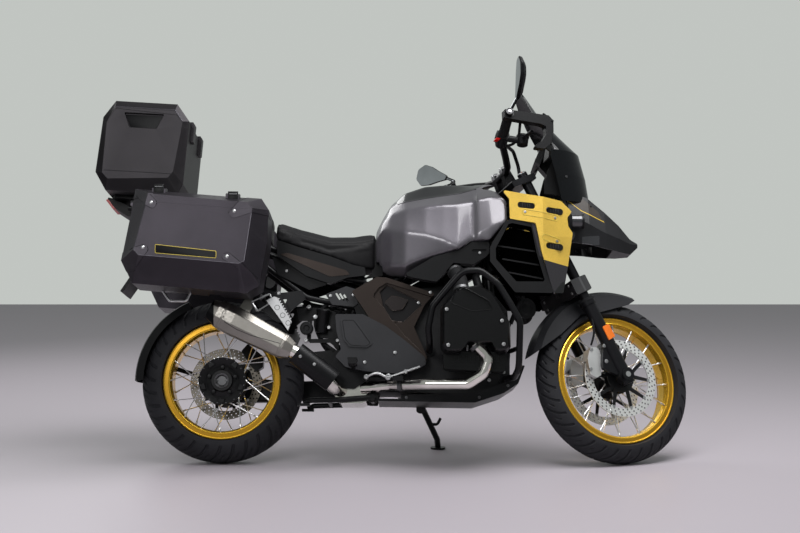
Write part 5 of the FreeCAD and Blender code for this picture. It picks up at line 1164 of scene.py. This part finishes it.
def finished(obj, slot, source):
    obj.data.shade_smooth()
    dress(obj, M[slot])
    obj.select_set(False)
    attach(obj, "chassis")
    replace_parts(obj, source)


def seam_gap(p, line):
    """How far a point lies above (+) or below (-) the seam's line."""
    for (ax, az), (bx, bz) in zip(line, line[1:]):
        if ax <= p.x <= bx:
            return p.z - (az + (bz - az) * (p.x - ax) / (bx - ax))
    return 60.0


def blow(obj, local, line):
    """Lets pressure swell the cushion as a cloth that its underside holds."""
    cloth = obj.modifiers.new("cloth", "CLOTH")
    settings = cloth.settings
    settings.quality, settings.mass = 4, 0.3
    settings.tension_stiffness = settings.compression_stiffness = 12
    settings.use_pressure, settings.uniform_pressure_force = True, 4
    settings.effector_weights.gravity = 0
    hold = obj.vertex_groups.new(name="hold")
    for i, p in enumerate(local):
        if seam_gap(p, line) < -HELD:
            hold.add([i], 1.0, "REPLACE")
    settings.vertex_group_mass = "hold"
    cloth.point_cache.frame_start, cloth.point_cache.frame_end = 1, FRAMES
    for step in range(1, FRAMES + 1):
        bpy.context.scene.frame_set(step)
    bpy.ops.object.modifier_apply(modifier="cloth")


def cushion(name, source, line):
    """A cushion from the seat's own form, softened and blown a little, with a sewn seam."""
    mesh = NODES[source].data.copy()
    low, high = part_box(source)
    middle = (low + high) / 2
    for v in mesh.vertices:
        v.co = middle + (v.co - middle) * SHRINK
    obj = remeshed(name, mesh, 0.6, 8)
    back, turn = PARK.inverted(), PARK.to_3x3()
    rest = [v.co.copy() for v in obj.data.vertices]
    local = [back @ v for v in rest]
    blow(obj, local, line)
    for v, start, p in zip(obj.data.vertices, rest, local):
        move = v.co - start
        if move.length > CROWN:
            move = move.normalized() * CROWN
        v.co = start + move
        gap = seam_gap(p, line)
        inward = Vector((0, -math.copysign(1, p.y), 0)) if abs(p.y) > 30 else Vector((0, 0, -1))
        depth = (SEWN * math.exp(-(gap / 4.0) ** 2) - BEAD * math.exp(-((gap - 9) / 4.0) ** 2)
            + PULL * math.exp(-((gap + 30) / 20.0) ** 2))
        v.co += turn @ (inward * depth)
    obj.data.update()
    sub = obj.modifiers.new("round", "SUBSURF")
    sub.levels = sub.render_levels = 1
    bpy.ops.object.modifier_apply(modifier="round")
    finished(obj, "seat", source)


RIDER_SEAM = [(190, 914), (206, 910), (300, 881), (418, 852), (510, 856), (600, 872)]
PASSENGER_SEAM = [(-130, 966), (-118, 968), (-20, 980), (110, 982), (186, 964)]
cushion("rider_cushion", "rider_seat", RIDER_SEAM)
cushion("passenger_cushion", "passenger_seat", PASSENGER_SEAM)
tank = remeshed("tank_shell", NODES["fuel_tank"].data.copy(), 0.5, 14)
finished(tank, "tank", "fuel_tank")


# Floor, light and camera

def plain(name, colour, rough):
    m = bpy.data.materials.new(name)
    m.use_nodes = True
    inputs = m.node_tree.nodes["Principled BSDF"].inputs
    inputs["Base Color"].default_value = colour + (1,)
    inputs["Roughness"].default_value = rough
    return m


FAR = 9.0
floor_mesh = bpy.data.meshes.new("floor")
floor_corners = [(-FAR, -FAR, 0), (FAR, -FAR, 0), (FAR, FAR, 0), (-FAR, FAR, 0)]
floor_mesh.from_pydata(floor_corners, [], [(0, 1, 2, 3)])
floor = new_object("floor", floor_mesh)
dress(floor, plain("floor_pale", (0.37, 0.335, 0.37), 0.5))
floor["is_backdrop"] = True

# the camera sees a brighter background than the one that lights the machine
world = bpy.data.worlds.new("soft_world")
bpy.context.scene.world = world
world.use_nodes = True
air = world.node_tree
shown = air.nodes["Background"]
feed(air, shown.inputs["Color"], (0.535, 0.56, 0.535, 1))
feed(air, shown.inputs["Strength"], 1.0)
soft_fill = node(air, "ShaderNodeBackground", Color=(0.60, 0.64, 0.62, 1), Strength=0.5)
path = node(air, "ShaderNodeLightPath")
either = node(air, "ShaderNodeMixShader", Fac=path.outputs["Is Camera Ray"])
feed(air, either.inputs[1], soft_fill.outputs[0])
feed(air, either.inputs[2], shown.outputs[0])
feed(air, air.nodes["World Output"].inputs["Surface"], either.outputs[0])

LIT_POINT = Vector((0, 0, 0.7))


def area(name, place, size, power):
    """A softbox that looks at the lit point."""
    lamp = bpy.data.lights.new(name, "AREA")
    lamp.shape, lamp.size, lamp.size_y, lamp.energy = "RECTANGLE", size[0], size[1], power
    holder = new_object(name, lamp)
    holder.location = place
    holder.rotation_euler = (LIT_POINT - Vector(place)).to_track_quat("-Z", "Y").to_euler()


area("top_light", (1.1, -1.0, 4.2), (4.0, 2.4), 250)
area("front_light", (-1.8, -4.6, 3.0), (1.6, 1.2), 60)
area("rim_light", (-2.5, 3.0, 3.0), (3.0, 2.0), 60)

# the camera as solved from the photograph: its place from the rear wheel (metres), how far it looks
# down (degrees), and its focal length in widths of the picture
EYE = (0.697, -6.0, 1.031)
DOWN, REACH, SENSOR = 2.48, 1545.7 / 800, 36.0
camera_data = bpy.data.cameras.new("camera")
camera = new_object("camera", camera_data)
camera.location = (EYE[0] + SHIFT[0] / 1000, EYE[1] + SHIFT[1] / 1000, EYE[2])
camera.rotation_euler = (math.radians(90 - DOWN), 0, 0)
camera_data.sensor_width = SENSOR
camera_data.lens = SENSOR * REACH
bpy.context.scene.camera = camera
bpy.context.scene.view_settings.view_transform = "Standard"

low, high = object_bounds()
